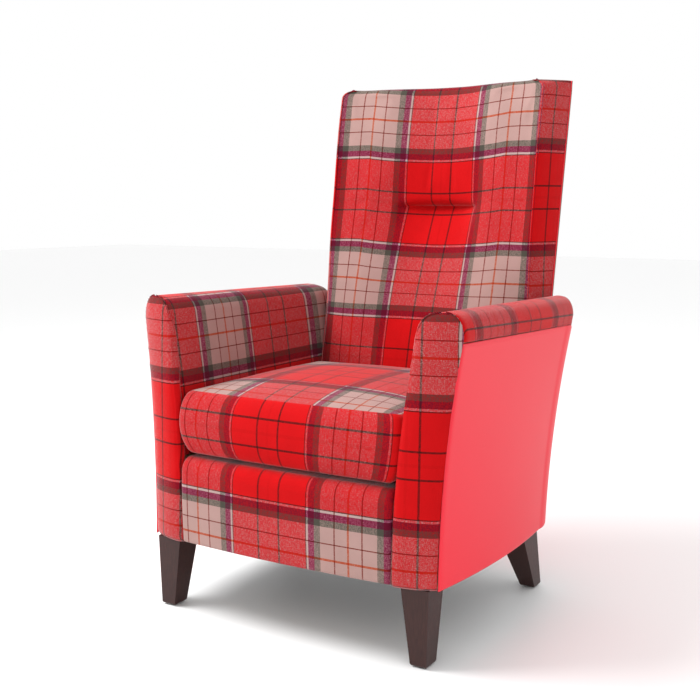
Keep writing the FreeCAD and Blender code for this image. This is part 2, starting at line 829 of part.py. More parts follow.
def build_seat():
    rail_half = seat_half + rail_lap
    rail_y = rail_face_y
    front_rail = box(-rail_half, rail_half, rail_y, rail_y + timber, skirt, front_rail_top)
    parts["front_seat_rail"] = front_rail
    rear_face = rear_line(front_rail_top - rear_rail_height) - timber
    rear_rail = box(-upright_inner, upright_inner, rear_face, rear_face + timber,
                    front_rail_top - rear_rail_height, front_rail_top)
    parts["rear_seat_rail"] = rear_rail

    blocks = []
    bolts = []
    nuts = []
    for reach, base_y in ((front_top_reach, front_y), (rear_top_reach, rear_line(skirt))):
        x, y = centre(leg_sides(reach, base_y))
        block = box(rail_half, seat_half + arm_width - panel, y - block_depth / 2, y + block_depth / 2,
                    skirt, block_top)
        block = block.cut(front_space(cover + facing_foam))
        bore = cylinder(bolt_radius, x, y, skirt - 1, block_top)
        block = largest(block.cut(bore).cut(tee_nut(x, y)))
        for shape, group in ((block, blocks), (leg_bolt(x, y), bolts), (tee_nut(x, y), nuts)):
            group.append(shape)
            group.append(mirrored(shape))
    parts["leg_blocks"] = joined(blocks)
    parts["leg_bolts"] = joined(bolts)
    parts["tee_nuts"] = joined(nuts)

    wire_z = front_rail_top + clip_plate + (spring_wire + spring_play) / 2
    y0 = rail_y + timber / 2
    y1 = rear_face + timber / 2
    springs = []
    clips = []
    for index in range(spring_count):
        x = (index - (spring_count - 1) / 2) * spring_spacing
        springs.append(sinuous_spring(x, y0, y1, wire_z))
        clips.append(spring_clip(x, y0, front_rail_top, -1))
        clips.append(spring_clip(x, y1, front_rail_top, 1))
    parts["seat_springs"] = joined(springs)
    parts["spring_clips"] = joined(clips)

    deck_low = deck_top - cloth - deck_foam + 2.0
    deck_front = rail_y + timber + 11.0
    deck_rear = rear_face + timber
    deck_half = upright_inner
    parts["deck_pad"] = box(-deck_half, deck_half, deck_front, deck_rear, deck_low + 2.5, deck_top - cloth)
    parts["platform_cloth"] = box(-deck_half, deck_half, deck_front, deck_rear, deck_top - cloth, deck_top)

    outer = apron_body(0)
    inner = apron_body(cover)
    parts["apron_cover"] = largest(outer.cut(inner))
    parts["apron_pad"] = inner

    core = cushion_body(cover)
    skin = cushion_body(0).cut(core)
    zip_shape = zip_body()
    end = box(cushion_half - cover / 2, far, -far, far, 0, far)
    parts["seat_cushion_pad"] = core
    add_pair("cushion_border", largest(skin.common(end)))
    wrap = skin.cut(end).cut(mirrored(end)).cut(zip_shape)
    parts["seat_cushion_cover"] = largest(wrap)
    parts["cushion_zip"] = largest(zip_shape.cut(core))
    parts["zip_slider"] = zip_slider()


def build_legs():
    glides = []
    ends = (
        ("front_leg", front_foot_reach, front_top_reach, front_y),
        ("rear_leg", rear_foot_reach, rear_top_reach, rear_line(skirt)),
    )
    for name, foot_reach, top_reach, base_y in ends:
        foot = leg_sides(foot_reach, base_y)
        top = leg_sides(top_reach, base_y)
        bolt_x, bolt_y = centre(top)
        foot_x, foot_y = centre(foot)
        leg = leg_shape(foot, top).cut(leg_bolt(bolt_x, bolt_y)).cut(glide(foot_x, foot_y))
        add_pair(name, largest(leg))
        glides.append(glide(foot_x, foot_y))
        glides.append(mirrored(glide(foot_x, foot_y)))
    parts["leg_glides"] = joined(glides)
    edge = side_points(skirt, hem)
    right = [point(p.x, p.y, skirt - cloth / 2) for p in edge]
    left = [point(-p.x, p.y, p.z) for p in right]
    front_right = point(right[0].x, rail_face_y + timber, right[0].z)
    front_left = point(-front_right.x, front_right.y, front_right.z)
    rear_middle = point(0, rear_line(skirt) + back_bow - 2 * hem, right[0].z)
    outline = Part.Wire([
        Part.makeLine(front_left, front_right),
        arc(front_right, right[1], right[2]),
        arc(right[2], right[3], right[4]),
        arc(right[4], rear_middle, left[4]),
        arc(left[4], left[3], left[2]),
        arc(left[2], left[1], front_left),
    ])
    sheet = Part.Face(outline).extrude(point(0, 0, cloth / 2))
    for name in ("right_front_leg", "left_front_leg", "right_rear_leg", "left_rear_leg"):
        sheet = sheet.cut(parts[name])
    parts["dust_cover"] = largest(sheet)


build_back()
build_arm()
build_seat()
build_legs()

os.makedirs("parts", exist_ok=True)
for name, shape in parts.items():
    shape.exportStep("parts/" + name + ".step")
    print(name, len(shape.Solids), shape.isValid(), round(shape.Volume / 1000, 1))
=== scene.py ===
"""Fireside chair: upholstery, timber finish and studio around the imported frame.

Lengths are metres in the chair's own frame: z is up, the seat faces -Y and X runs across.
Every cloth coordinate is metres on the flat cloth: U counts across the columns from the middle
of a red column, V counts along the rows from the middle of a cream row.
"""

from __future__ import annotations

import json
import logging
import math
from dataclasses import dataclass
from enum import Enum
from typing import Callable, Sequence

import bpy
import numpy as np
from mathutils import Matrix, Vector

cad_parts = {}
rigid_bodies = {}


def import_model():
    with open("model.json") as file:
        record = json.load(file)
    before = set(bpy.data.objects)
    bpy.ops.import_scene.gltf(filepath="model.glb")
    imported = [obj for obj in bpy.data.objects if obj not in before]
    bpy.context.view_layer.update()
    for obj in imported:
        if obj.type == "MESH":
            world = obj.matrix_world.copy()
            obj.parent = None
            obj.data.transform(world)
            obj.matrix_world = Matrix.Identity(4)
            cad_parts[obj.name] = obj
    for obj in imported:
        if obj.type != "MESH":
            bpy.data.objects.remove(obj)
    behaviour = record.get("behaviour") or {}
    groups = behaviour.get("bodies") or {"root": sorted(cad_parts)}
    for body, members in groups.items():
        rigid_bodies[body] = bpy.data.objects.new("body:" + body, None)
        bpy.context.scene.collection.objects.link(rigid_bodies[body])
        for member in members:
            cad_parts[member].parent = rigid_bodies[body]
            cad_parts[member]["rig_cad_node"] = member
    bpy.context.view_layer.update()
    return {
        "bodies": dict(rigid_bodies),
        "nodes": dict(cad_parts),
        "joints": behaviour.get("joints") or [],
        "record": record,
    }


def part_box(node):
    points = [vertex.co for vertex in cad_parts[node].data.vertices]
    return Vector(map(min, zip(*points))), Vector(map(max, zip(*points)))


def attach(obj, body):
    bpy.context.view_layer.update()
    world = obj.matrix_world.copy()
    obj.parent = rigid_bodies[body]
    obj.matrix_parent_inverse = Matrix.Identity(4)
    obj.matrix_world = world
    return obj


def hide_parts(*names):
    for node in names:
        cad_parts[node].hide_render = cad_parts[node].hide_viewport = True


LOG = logging.getLogger("chair")
CLOTH_MAP = "ClothMetres"
SEAM_ROOM = 0.0005
TINY = 1e-9
Array = np.ndarray
Faces = list[tuple[int, ...]]
Colour = tuple[float, float, float]


class Side(Enum):
    """The two sides of the chair, as the sign of X."""

    RIGHT = 1
    LEFT = -1

    @property
    def word(self) -> str:
        """The side's name as the frame's nodes use it."""
        return self.name.lower()


class Slot(Enum):
    """Finish slots of the record."""

    TARTAN = "tartan_wool"
    PANEL = "coral_leather"
    CLOTH = "black_cloth"
    FOAM = "foam"
    BEECH = "beech"
    BOARD = "hardboard"
    LEG = "stained_wood"
    STEEL = "steel"
    GLIDE = "glide_plastic"
    WEBBING = "webbing"
    ZIP = "zip_tape"


# Numeric helpers


def smooth(t: Array) -> Array:
    """Smooth step of a share.

    Args:
        t: the share, clipped to 0 and 1.

    Returns:
        The eased share.
    """
    t = np.clip(t, 0.0, 1.0)
    return t * t * (3.0 - 2.0 * t)


def fading(distance: Array, reach: float, power: float = 2.0) -> Array:
    """An effect that fades away from an edge.

    Args:
        distance: distance from the edge.
        reach: how far the effect reaches.
        power: how level it starts and how steeply it ends.

    Returns:
        1 at the edge, falling to 0.
    """
    return np.exp(-((distance / reach) ** power))


def crowded(count: int, power: float) -> Array:
    """Shares from -1 to 1 that crowd at both ends.

    Args:
        count: how many.
        power: how much they crowd.

    Returns:
        The shares.
    """
    share = np.linspace(-1, 1, count)
    return np.sign(share) * (1 - (1 - np.abs(share)) ** power)


def eased(count: int, curved: float) -> Array:
    """Shares from 0 to 1, closer together at both ends.

    Args:
        count: how many.
        curved: 1 for a cosine spacing, 0 for an even one.

    Returns:
        The shares.
    """
    even = np.linspace(0, 1, count)
    return (0.5 - 0.5 * np.cos(math.pi * even)) * curved + even * (1 - curved)


def joined(*parts: float | Array) -> Array:
    """Numbers side by side along a new last axis.

    Args:
        *parts: numbers and arrays that fit together.

    Returns:
        The array of points.
    """
    return np.stack(np.broadcast_arrays(*parts), -1)


def softened(heights: Array, values: Array, spread: float) -> Callable[[Array], Array]:
    """A smooth curve through a row of values.

    Args:
        heights: increasing heights of the values.
        values: the value at each height.
        spread: half width of the smoothing, in metres.

    Returns:
        A function from heights to smoothed values.
    """
    fine = np.linspace(heights[0] - 4 * spread, heights[-1] + 4 * spread, 800)
    step = fine[1] - fine[0]
    reach = int(3 * spread / step)
    kernel = np.exp(-0.5 * (np.arange(-reach, reach + 1) * step / spread) ** 2)
    padded = np.pad(np.interp(fine, heights, values), reach, mode="edge")
    flat = np.convolve(padded, kernel / kernel.sum(), mode="valid")
    return lambda z: np.interp(z, fine, flat)


def arc_through(a: Sequence[float], b: Sequence[float], c: Sequence[float], count: int) -> Array:
    """Points on the circular arc from a through b to c.

    Args:
        a: first end, as two numbers.
        b: a point between the ends.
        c: last end.
        count: number of points, both ends included.

    Returns:
        An array of count points.
    """
    a, b, c = (np.asarray(p, float) for p in (a, b, c))
    rows = np.array([b - a, c - a]) * 2.0
    sums = np.array([b @ b - a @ a, c @ c - a @ a])
    centre = np.linalg.solve(rows, sums)
    radius = np.linalg.norm(a - centre)
    angles = [math.atan2(*(p - centre)[::-1]) for p in (a, b, c)]
    turn = (angles[2] - angles[0]) % (2 * math.pi)
    if (angles[1] - angles[0]) % (2 * math.pi) > turn:
        turn -= 2 * math.pi
    steps = angles[0] + turn * np.linspace(0, 1, count)
    return centre + radius * joined(np.cos(steps), np.sin(steps))


def along(points: Array) -> Array:
    """Running length of a line of points.

    Args:
        points: the line, along the first axis.

    Returns:
        The length up to each point.
    """
    steps = np.linalg.norm(np.diff(points, axis=0), axis=-1)
    return np.concatenate([[0.0], np.cumsum(steps)])


def respaced(points: Array, count: int) -> Array:
    """The same line with evenly spaced points.

    Args:
        points: the line, along the first axis.
        count: number of points that it gets.

    Returns:
        The new line.
    """
    run = along(points)
    at = np.linspace(0, run[-1], count)
    return joined(*(np.interp(at, run, values) for values in points.T))


# Meshes


@dataclass
class Grid:
    """A grid of surface points with its cloth coordinates.

    Args:
        points: rows by columns by 3, in metres.
        cloth: rows by columns by 2, in metres on the cloth.
    """

    points: Array
    cloth: Array

    def mirrored(self) -> "Grid":
        """The same grid on the other side of the chair.

        Returns:
            The new grid, with normals that still point outwards.
        """
        return Grid(self.points[:, ::-1] * (-1, 1, 1), self.cloth[:, ::-1])

    def sunk(self, thick: float) -> Array:
        """The points moved inwards along the grid's normals.

        Args:
            thick: how far.

        Returns:
            The moved points.
        """
        normal = np.cross(np.gradient(self.points, axis=1), np.gradient(self.points, axis=0))
        length = np.linalg.norm(normal, axis=-1, keepdims=True)
        return self.points - normal / np.maximum(length, TINY) * thick


class Rows:
    """Collects the rows of a grid."""

    def __init__(self) -> None:
        """Starts without rows."""
        self.points: list[Array] = []
        self.cloth: list[Array] = []

    def add(self, points: Array, cloth: Array) -> None:
        """Adds a row.

        Args:
            points: its points.
            cloth: their cloth coordinates.
        """
        self.points.append(points)
        self.cloth.append(cloth)

    @property
    def last(self) -> tuple[Array, Array]:
        """Points and cloth coordinates of the last row."""
        return self.points[-1], self.cloth[-1]

    def grid(self) -> Grid:
        """The rows so far.

        Returns:
            Them as a grid.
        """
        return Grid(np.array(self.points), np.array(self.cloth))


def cells_of(sheet: Array) -> Array:
    """The four corners of every cell of a sheet.

    Args:
        sheet: one value for each corner, such as its vertex number.

    Returns:
        Four values for each cell.
    """
    corners = (sheet[:-1, :-1], sheet[:-1, 1:], sheet[1:, 1:], sheet[1:, :-1])
    return np.stack(corners, -1).reshape(-1, 4)


def new_piece(name: str, vertices: Array, faces: Faces, cloth: Sequence[Array]) -> bpy.types.Object:
    """Makes a mesh piece with its cloth coordinates.

    Args:
        name: the piece's name.
        vertices: vertex places.
        faces: vertex numbers of each face.
        cloth: one array of cloth coordinates per face.

    Returns:
        The new object, smooth shaded.
    """
    mesh = bpy.data.meshes.new(name)
    mesh.from_pydata(vertices.tolist(), [], faces)
    layer = mesh.uv_layers.new(name=CLOTH_MAP)
    layer.uv.foreach_set("vector", np.concatenate(cloth).astype(np.float32).ravel())
    mesh.polygons.foreach_set("use_smooth", np.ones(len(mesh.polygons), bool))
    mesh.validate()
    mesh.update()
    piece = bpy.data.objects.new(name, mesh)
    bpy.context.scene.collection.objects.link(piece)
    return piece


def shell(name: str, grid: Grid, thick: float) -> bpy.types.Object:
    """A closed cover: the grid outside, and the same grid sunk along its normals inside.

    Args:
        name: the piece's name.
        grid: the outer surface, with normals pointing outwards.
        thick: how far the inner face lies below the outer one.

    Returns:
        The new object.
    """
    number = np.arange(grid.points[..., 0].size).reshape(grid.points.shape[:2])
    under = number + number.size
    sheets = [cells_of(number), cells_of(under)[:, ::-1]]
    for edge in (np.s_[0, ::-1], np.s_[-1, :], np.s_[:, 0], np.s_[::-1, -1]):
        rim = cells_of(np.stack([number[edge], under[edge]]))
        sheets.append(rim)
    faces = np.concatenate(sheets)
    cloth = grid.cloth.reshape(-1, 2)[faces % number.size]
    vertices = np.concatenate([grid.points.reshape(-1, 3), grid.sunk(thick).reshape(-1, 3)])
    return new_piece(name, vertices, [tuple(face) for face in faces.tolist()], cloth)


# Cloth simulation


@dataclass(frozen=True)
class Stuffing:
    """How a soft piece is swollen and held.

    Args:
        pressure: air pressure inside the cover.
        cap: the most that a point may move, in metres.
        frames: simulated frames.
        wool: settings of the simulated cloth.
    """

    pressure: float = 4.0
    cap: float = 0.006
    frames: int = 16
    wool: tuple[tuple[str, float], ...] = (
        ("mass", 0.4),
        ("tension_stiffness", 18),
        ("compression_stiffness", 14),
        ("shear_stiffness", 6),
        ("bending_stiffness", 0.4),
        ("pin_stiffness", 1.0),
    )

    def swell(self, piece: bpy.types.Object, hold: Array) -> None:
        """Swells a piece under pressure, held where the weights say, and keeps the capped result.

        Args:
            piece: the mesh object.
            hold: weight of each vertex, 1 where it is sewn or stapled down.
        """
        rest = self._places(piece.data)
        group = piece.vertex_groups.new(name="held")
        levels = np.round(hold, 2)
        for level in np.unique(levels[levels > 0]):
            group.add(np.nonzero(levels == level)[0].tolist(), float(level), "REPLACE")
        cloth = piece.modifiers.new("swell", "CLOTH")
        settings = cloth.settings
        settings.quality = 5
        for name, value in self.wool:
            setattr(settings, name, value)
        settings.use_pressure = True
        settings.uniform_pressure_force = self.pressure
        settings.vertex_group_mass = "held"
        settings.effector_weights.gravity = 0.0
        cloth.collision_settings.use_collision = False
        cloth.point_cache.frame_start = 1
        cloth.point_cache.frame_end = self.frames
        scene = bpy.context.scene
        for frame_number in range(1, self.frames + 1):
            scene.frame_set(frame_number)
        swollen = piece.evaluated_get(bpy.context.evaluated_depsgraph_get())
        shift = self._places(swollen.to_mesh()) - rest
        swollen.to_mesh_clear()
        length = np.linalg.norm(shift, axis=1, keepdims=True)
        shift *= self.cap * np.tanh(length / self.cap) / np.maximum(length, TINY)
        piece.modifiers.remove(cloth)
        piece.data.vertices.foreach_set("co", (rest + shift).astype(np.float32).ravel())
        piece.data.update()
        scene.frame_set(1)

    @staticmethod
    def _places(mesh: bpy.types.Mesh) -> Array:
        """Places of a mesh's vertices.

        Args:
            mesh: the mesh.

        Returns:
            Vertices by 3.
        """
        places = np.zeros(len(mesh.vertices) * 3, np.float32)
        mesh.vertices.foreach_get("co", places)
        return places.reshape(-1, 3).astype(float)


# The chair's form


@dataclass(frozen=True)
class ChairForm:
    """Driving dimensions of the upholstered form, in metres and degrees."""

    height: float = 1.120
    depth: float = 0.796
    skirt: float = 0.151
    cover: float = 0.0025
    rake: float = 10.8
    bow: float = 0.038
    back_half: float = 0.297
    back_seam: float = 0.264
    back_foot: float = 0.331
    back_round: float = 0.020
    seat_half: float = 0.249
    arm_width: float = 0.083
    arm_top: float = 0.655
    arm_round: float = 0.045
    arm_inner_round: float = 0.036
    arm_outer_round: float = 0.026
    arm_flare: float = 0.037
    arm_fall: float = 0.020
    arm_spread: float = 0.020
    arm_seam: float = 0.604
    arm_seam_fall: float = 0.036
    facing_turn: float = 15.8
    facing_lean: float = 1.2
    facing_setback: float = 0.006

    @property
    def front_y(self) -> float:
        """Y of the front of the apron."""
        return -self.depth / 2

    @property
    def shoulder(self) -> float:
        """Height where the arm's sides start to turn over."""
        return self.arm_top - self.arm_round

    def rear_line(self, z: Array) -> Array:
        """Y of the rear panel's side edges.

        Args:
            z: height.

        Returns:
            Their Y.
        """
        top = self.depth / 2 - self.bow
        return top - (self.height - z) * math.tan(math.radians(self.rake))

    def bow_at(self, x: Array) -> Array:
        """How far the rear panel stands behind its side edges.

        Args:
            x: place across.

        Returns:
            The distance.
        """
        radius = (self.back_half**2 + self.bow**2) / (2 * self.bow)
        return np.sqrt(radius**2 - np.square(x)) - (radius - self.bow)

    def share(self, z: Array) -> Array:
        """Share of the way from the skirt to the arm's shoulder.

        Args:
            z: height.

        Returns:
            The share.
        """
        return np.clip((z - self.skirt) / (self.shoulder - self.skirt), 0, 1)

    def arm_inner(self, z: Array) -> Array:
        """X of the arm's inner face.

        Args:
            z: height.

        Returns:
            Its X.
        """
        return self.seat_half + self.arm_flare * self.share(z) ** 2

    def facing_y(self, x: Array, z: Array) -> Array:
        """Y of the turned plane of the arm's front.

        Args:
            x: place across.
            z: height.

        Returns:
            Its Y.
        """
        turned = (x - self.seat_half) * math.tan(math.radians(self.facing_turn))
        lean = (z - self.skirt) * math.tan(math.radians(self.facing_lean))
        return self.front_y + self.facing_setback + turned + lean

    def facing_normal(self) -> Array:
        """Outward normal of the right arm's front.

        Returns:
            A unit vector.
        """
        turn, lean = math.radians(self.facing_turn), math.radians(self.facing_lean)
        normal = np.array([math.tan(turn), -1.0, math.tan(lean)])
        return normal / np.linalg.norm(normal)


FORM = ChairForm()


# Finishes


@dataclass(frozen=True)
class Sett:
    """Stripes of the tartan from the middle of a red band to the middle of a cream band.

    Args:
        half: half of the repeat.
        red: half width of the red band.
        guard: place of the dark guard line in the red band.
        edge: width of the whole border between red and cream.
        thin: distance of the thin line from the middle of the cream band.
        line: half width of the lines in the middle of both bands.
        guard_half: half width of the guard line.
        thin_half: half width of the thin line.
        dark: width of the border's dark stripe.
        white: width of the border's white stripe.
    """

    half: float
    red: float
    guard: float
    edge: float
    thin: float
    line: float = 0.0028
    guard_half: float = 0.0021
    thin_half: float = 0.0013
    dark: float = 0.0020
    white: float = 0.0042

    def stops(self) -> list[tuple[float, str]]:
        """Start of each stripe as a share of the half repeat, and its yarn.

        Returns:
            The stripes from red to cream.
        """
        white = self.red + self.dark
        plum = white + self.white
        thin = self.half - self.thin
        spots = [
            (0.0, "faint"),
            (self.line, "red"),
            (self.guard - self.guard_half, "black"),
            (self.guard + self.guard_half, "red"),
            (self.red, "black"),
            (white, "white"),
            (plum, "plum"),
            ((plum + self.red + self.edge) / 2, "grey"),
            (self.red + self.edge, "cream"),
            (thin - self.thin_half, "brown"),
            (thin + self.thin_half, "cream"),
            (self.half - self.line, "rust"),
        ]
        return [(place / self.half, yarn) for place, yarn in spots]


@dataclass(frozen=True)
class TartanWool:
    """Woven wool tartan: two stripe orders, heather mottling and a twill face.

    Args:
        columns: stripes across the cloth.
        rows: stripes along it.
        yarns: linear colour of each yarn.
        mottle: strength of the mottling.
        warp_share: share of the warp in the mixed colour.
        roughness: micro roughness.
        sheen: cloth sheen.
        shine: strength of the plain reflection.
    """

    columns: Sett = Sett(half=0.185, red=0.0885, guard=0.025, edge=0.034, thin=0.0305)
    rows: Sett = Sett(half=0.195, red=0.0975, guard=0.025, edge=0.0335, thin=0.032)
    yarns: tuple[tuple[str, Colour], ...] = (
        ("red", (0.540, 0.0048, 0.0064)),
        ("faint", (0.480, 0.0042, 0.0052)),
        ("cream", (0.410, 0.256, 0.232)),
        ("black", (0.0460, 0.0075, 0.0068)),
        ("white", (0.440, 0.340, 0.330)),
        ("plum", (0.110, 0.0040, 0.0200)),
        ("grey", (0.0680, 0.0640, 0.0500)),
        ("brown", (0.095, 0.0120, 0.0090)),
        ("rust", (0.360, 0.0360, 0.0130)),
    )
    mottle: float = 0.85
    warp_share: float = 0.44
    roughness: float = 0.88
    sheen: float = 0.42
    shine: float = 0.05

    def yarn(self, name: str) -> tuple[float, ...]:
        """Linear colour of a yarn.

        Args:
            name: the yarn.

        Returns:
            Its colour with alpha.
        """
        return (*dict(self.yarns)[name], 1.0)


@dataclass(frozen=True)
class Dressing:
    """A plain finish: base colour, its darker shade and the scale of its detail.

    Args:
        colour: linear base colour.
        shade: linear colour of its darker places.
        roughness: micro roughness.
        grain: size of its grain, in metres.
        relief: height of its relief, in metres.
        metallic: 1 on metal.
        shine: strength of the plain reflection.
        stretch: how much finer its streaks are along X, Y and Z.
    """

    colour: Colour
    shade: Colour
    roughness: float
    grain: float
    relief: float
    metallic: float = 0.0
    shine: float = 0.5
    stretch: Colour = (1.0, 1.0, 1.0)


class Graph:
    """A short way to place and join shader nodes in one tree."""

    def __init__(self, tree: bpy.types.NodeTree) -> None:
        """Keeps the tree that nodes go into.

        Args:
            tree: the tree.
        """
        self.tree = tree

    def node(self, kind: str, **settings: object) -> bpy.types.Node:
        """Adds a node and sets its properties.

        Args:
            kind: the node's type.
            **settings: its properties.

        Returns:
            The node.
        """
        made = self.tree.nodes.new(kind)
        for name, value in settings.items():
            setattr(made, name, value)
        return made

    def feed(self, socket: bpy.types.NodeSocket, value: object) -> None:
        """Joins a socket to another, or sets its value.

        Args:
            socket: the input.
            value: another node's output, or a plain value.
        """
        if isinstance(value, bpy.types.NodeSocket):
            self.tree.links.new(value, socket)
        else:
            socket.default_value = value

    def made(self, kind: str, values: Sequence[object], **settings: object) -> bpy.types.NodeSocket:
        """Adds a node with its first inputs fed.

        Args:
            kind: the node's type.
            values: what its inputs get, in order.
            **settings: its properties.

        Returns:
            Its first output.
        """
        made = self.node(kind, **settings)
        for socket, value in zip(made.inputs, values):
            self.feed(socket, value)
        return made.outputs[0]

    def maths(self, operation: str, *values: object) -> bpy.types.NodeSocket:
        """A math node.

        Args:
            operation: what it does.
            *values: its inputs in order.

        Returns:
            Its result.
        """
        return self.made("ShaderNodeMath", values, operation=operation)

    def plus(self, first: object, second: object) -> bpy.types.NodeSocket:
        """Adds two values.

        Args:
            first: one of them.
            second: the other.

        Returns:
            Their sum.
        """
        return self.maths("ADD", first, second)

    def times(self, first: object, second: object) -> bpy.types.NodeSocket:
        """Multiplies two values.

        Args:
            first: one of them.
            second: the other.

        Returns:
            Their product.
        """
        return self.maths("MULTIPLY", first, second)

    def vector(self, *values: object) -> bpy.types.NodeSocket:
        """Three numbers as a vector.

        Args:
            *values: the numbers.

        Returns:
            The vector.
        """
        return self.made("ShaderNodeCombineXYZ", values)

    def split(self, vector: object) -> tuple[bpy.types.NodeSocket, ...]:
        """The numbers of a vector.

        Args:
            vector: the vector.

        Returns:
            X, Y and Z.
        """
        parts = self.node("ShaderNodeSeparateXYZ")
        self.feed(parts.inputs[0], vector)
        return tuple(parts.outputs)

    def noise(self, place: object, scale: float, detail: float = 2.0) -> bpy.types.NodeSocket:
        """Soft noise.

        Args:
            place: where it is looked up.
            scale: how fine it is.
            detail: how many finer layers it has.

        Returns:
            Its value.
        """
        made = self.node("ShaderNodeTexNoise")
        for name, value in (("Vector", place), ("Scale", scale), ("Detail", detail)):
            self.feed(made.inputs[name], value)
        return made.outputs["Fac"]

    def blend(self, share: object, first: object, second: object, kind: str) -> bpy.types.NodeSocket:
        """Mix of two colours.

        Args:
            share: share of the second one.
            first: a colour.
            second: another colour.
            kind: how they mix.

        Returns:
            The mixed colour.
        """
        made = self.node("ShaderNodeMix", data_type="RGBA", blend_type=kind, clamp_factor=True)
        for place, value in ((0, share), (6, first), (7, second)):
            self.feed(made.inputs[place], value)
        return made.outputs[2]

    def ramp(self, share: object, stops: Sequence[tuple], kind: str) -> bpy.types.NodeSocket:
        """A colour ramp.

        Args:
            share: place on the ramp.
            stops: place and colour of each stop.
            kind: how the colours run between the stops.

        Returns:
            The colour.
        """
        made = self.node("ShaderNodeValToRGB")
        ramp = made.color_ramp
        ramp.interpolation = kind
        while len(ramp.elements) < len(stops):
            ramp.elements.new(0.5)
        for element, (place, colour) in zip(ramp.elements, stops):
            element.position = place
            element.color = colour
        self.feed(made.inputs[0], share)
        return made.outputs[0]


class Effect(Graph):
    """A shader node group under construction."""

    def __init__(self, name: str, inputs: dict[str, float | None]) -> None:
        """Makes the group with its inputs.

        Args:
            name: the group's name.
            inputs: name and default of each input, None for a vector.
        """
        super().__init__(bpy.data.node_groups.new(name, "ShaderNodeTree"))
        for label, value in inputs.items():
            kind = "NodeSocketVector" if value is None else "NodeSocketFloat"
            socket = self.tree.interface.new_socket(name=label, in_out="INPUT", socket_type=kind)
            if value is not None:
                socket.default_value = value
        self.given = self.node("NodeGroupInput").outputs

    def give(self, kind: str = "NodeSocketFloat", **results: bpy.types.NodeSocket) -> bpy.types.NodeTree:
        """Ends the group with its outputs.

        Args:
            kind: socket type of the outputs.
            **results: what each output gives.

        Returns:
            The group.
        """
        for label in results:
            self.tree.interface.new_socket(name=label, in_out="OUTPUT", socket_type=kind)
        end = self.node("NodeGroupOutput")
        for label, value in results.items():
            self.feed(end.inputs[label], value)
        return self.tree


class Effects:
    """Node groups that more than one finish uses, each built once."""

    def __init__(self, wool: TartanWool) -> None:
        """Builds every group.

        Args:
            wool: the tartan whose stripes the groups hold.
        """
        self.mottle = self._mottle()
        self.twill = self._twill()
        self.grain = self._grain()
        self.columns = self._stripes("TartanColumns", wool, wool.columns, False)
        self.rows = self._stripes("TartanRows", wool, wool.rows, True)

    def _stripes(self, name: str, wool: TartanWool, sett: Sett, from_cream: bool) -> bpy.types.NodeTree:
        """Yarn colour at a place along the cloth, mirrored at the middle of each band.

        Args:
            name: the group's name.
            wool: the yarns.
            sett: the stripe order.
            from_cream: True if the place is counted from the middle of a cream band.

        Returns:
            The group, from Place to Yarn.
        """
        graph = Effect(name, {"Place": 0.0})
        folded = graph.maths("PINGPONG", graph.given["Place"], sett.half)
        if from_cream:
            folded = graph.maths("SUBTRACT", sett.half, folded)
        share = graph.maths("DIVIDE", folded, sett.half)
        stops = [(place, wool.yarn(yarn)) for place, yarn in sett.stops()]
        return graph.give("NodeSocketColor", Yarn=graph.ramp(share, stops, "CONSTANT"))

    def _mottle(self) -> bpy.types.NodeTree:
        """Heather of blended fibres: a share that wanders along and across the threads.

        Returns:
            The group, from Cloth and Amount to Share and Cloudy.
        """
        graph = Effect("WoolMottle", {"Cloth": None, "Amount": 0.5})
        cloth = graph.given["Cloth"]
        u, v, _ = graph.split(cloth)
        long, short, gain = 160.0, 820.0, 3.2
        speck = graph.noise(cloth, 620.0, 1.0)
        weft = graph.noise(graph.vector(graph.times(u, long), graph.times(v, short), 0.0), 1.0)
        warp = graph.noise(graph.vector(graph.times(u, short), graph.times(v, long), 3.7), 1.0)
        total = graph.plus(graph.plus(speck, weft), warp)
        wander = graph.maths("SUBTRACT", graph.times(total, 1.0 / 3.0), 0.5)
        strong = graph.times(graph.times(wander, gain), graph.given["Amount"])
        share = graph.made("ShaderNodeClamp", [graph.plus(0.5, strong)])
        return graph.give(Share=share, Cloudy=graph.noise(cloth, 14.0, 3.0))

    def _twill(self) -> bpy.types.NodeTree:
        """Raised diagonal ribs of a twill, broken up by loose fibres.

        Returns:
            The group, from Cloth and Pitch to Height and Rib.
        """
        graph = Effect("TwillFace", {"Cloth": None, "Pitch": 0.0019})
        u, v, _ = graph.split(graph.given["Cloth"])
        slant = graph.maths("DIVIDE", graph.plus(u, v), graph.given["Pitch"])
        wave = graph.maths("SINE", graph.times(slant, 2 * math.pi))
        rib = graph.plus(0.5, graph.times(0.5, wave))
        fibres = graph.noise(graph.given["Cloth"], 900.0, 3.0)
        return graph.give(Height=graph.plus(graph.times(rib, 0.45), fibres), Rib=rib)

    def _grain(self) -> bpy.types.NodeTree:
        """Streaks and specks at a chosen size, for wood, plastic, steel and coated cloth.

        Returns:
            The group, from Place, Stretch and Size to Streak, Speck and Cloudy.
        """
        graph = Effect("SurfaceGrain", {"Place": None, "Stretch": None, "Size": 0.002})
        place, size = graph.given["Place"], graph.given["Size"]
        even = [place, graph.vector(size, size, size)]
        scaled = graph.made("ShaderNodeVectorMath", even, operation="DIVIDE")
        finer = [scaled, graph.given["Stretch"]]
        stretched = graph.made("ShaderNodeVectorMath", finer, operation="MULTIPLY")
        return graph.give(
            Streak=graph.noise(stretched, 1.0, 5.0),
            Speck=graph.noise(scaled, 1.0),
            Cloudy=graph.noise(place, 6.0, 3.0),
        )


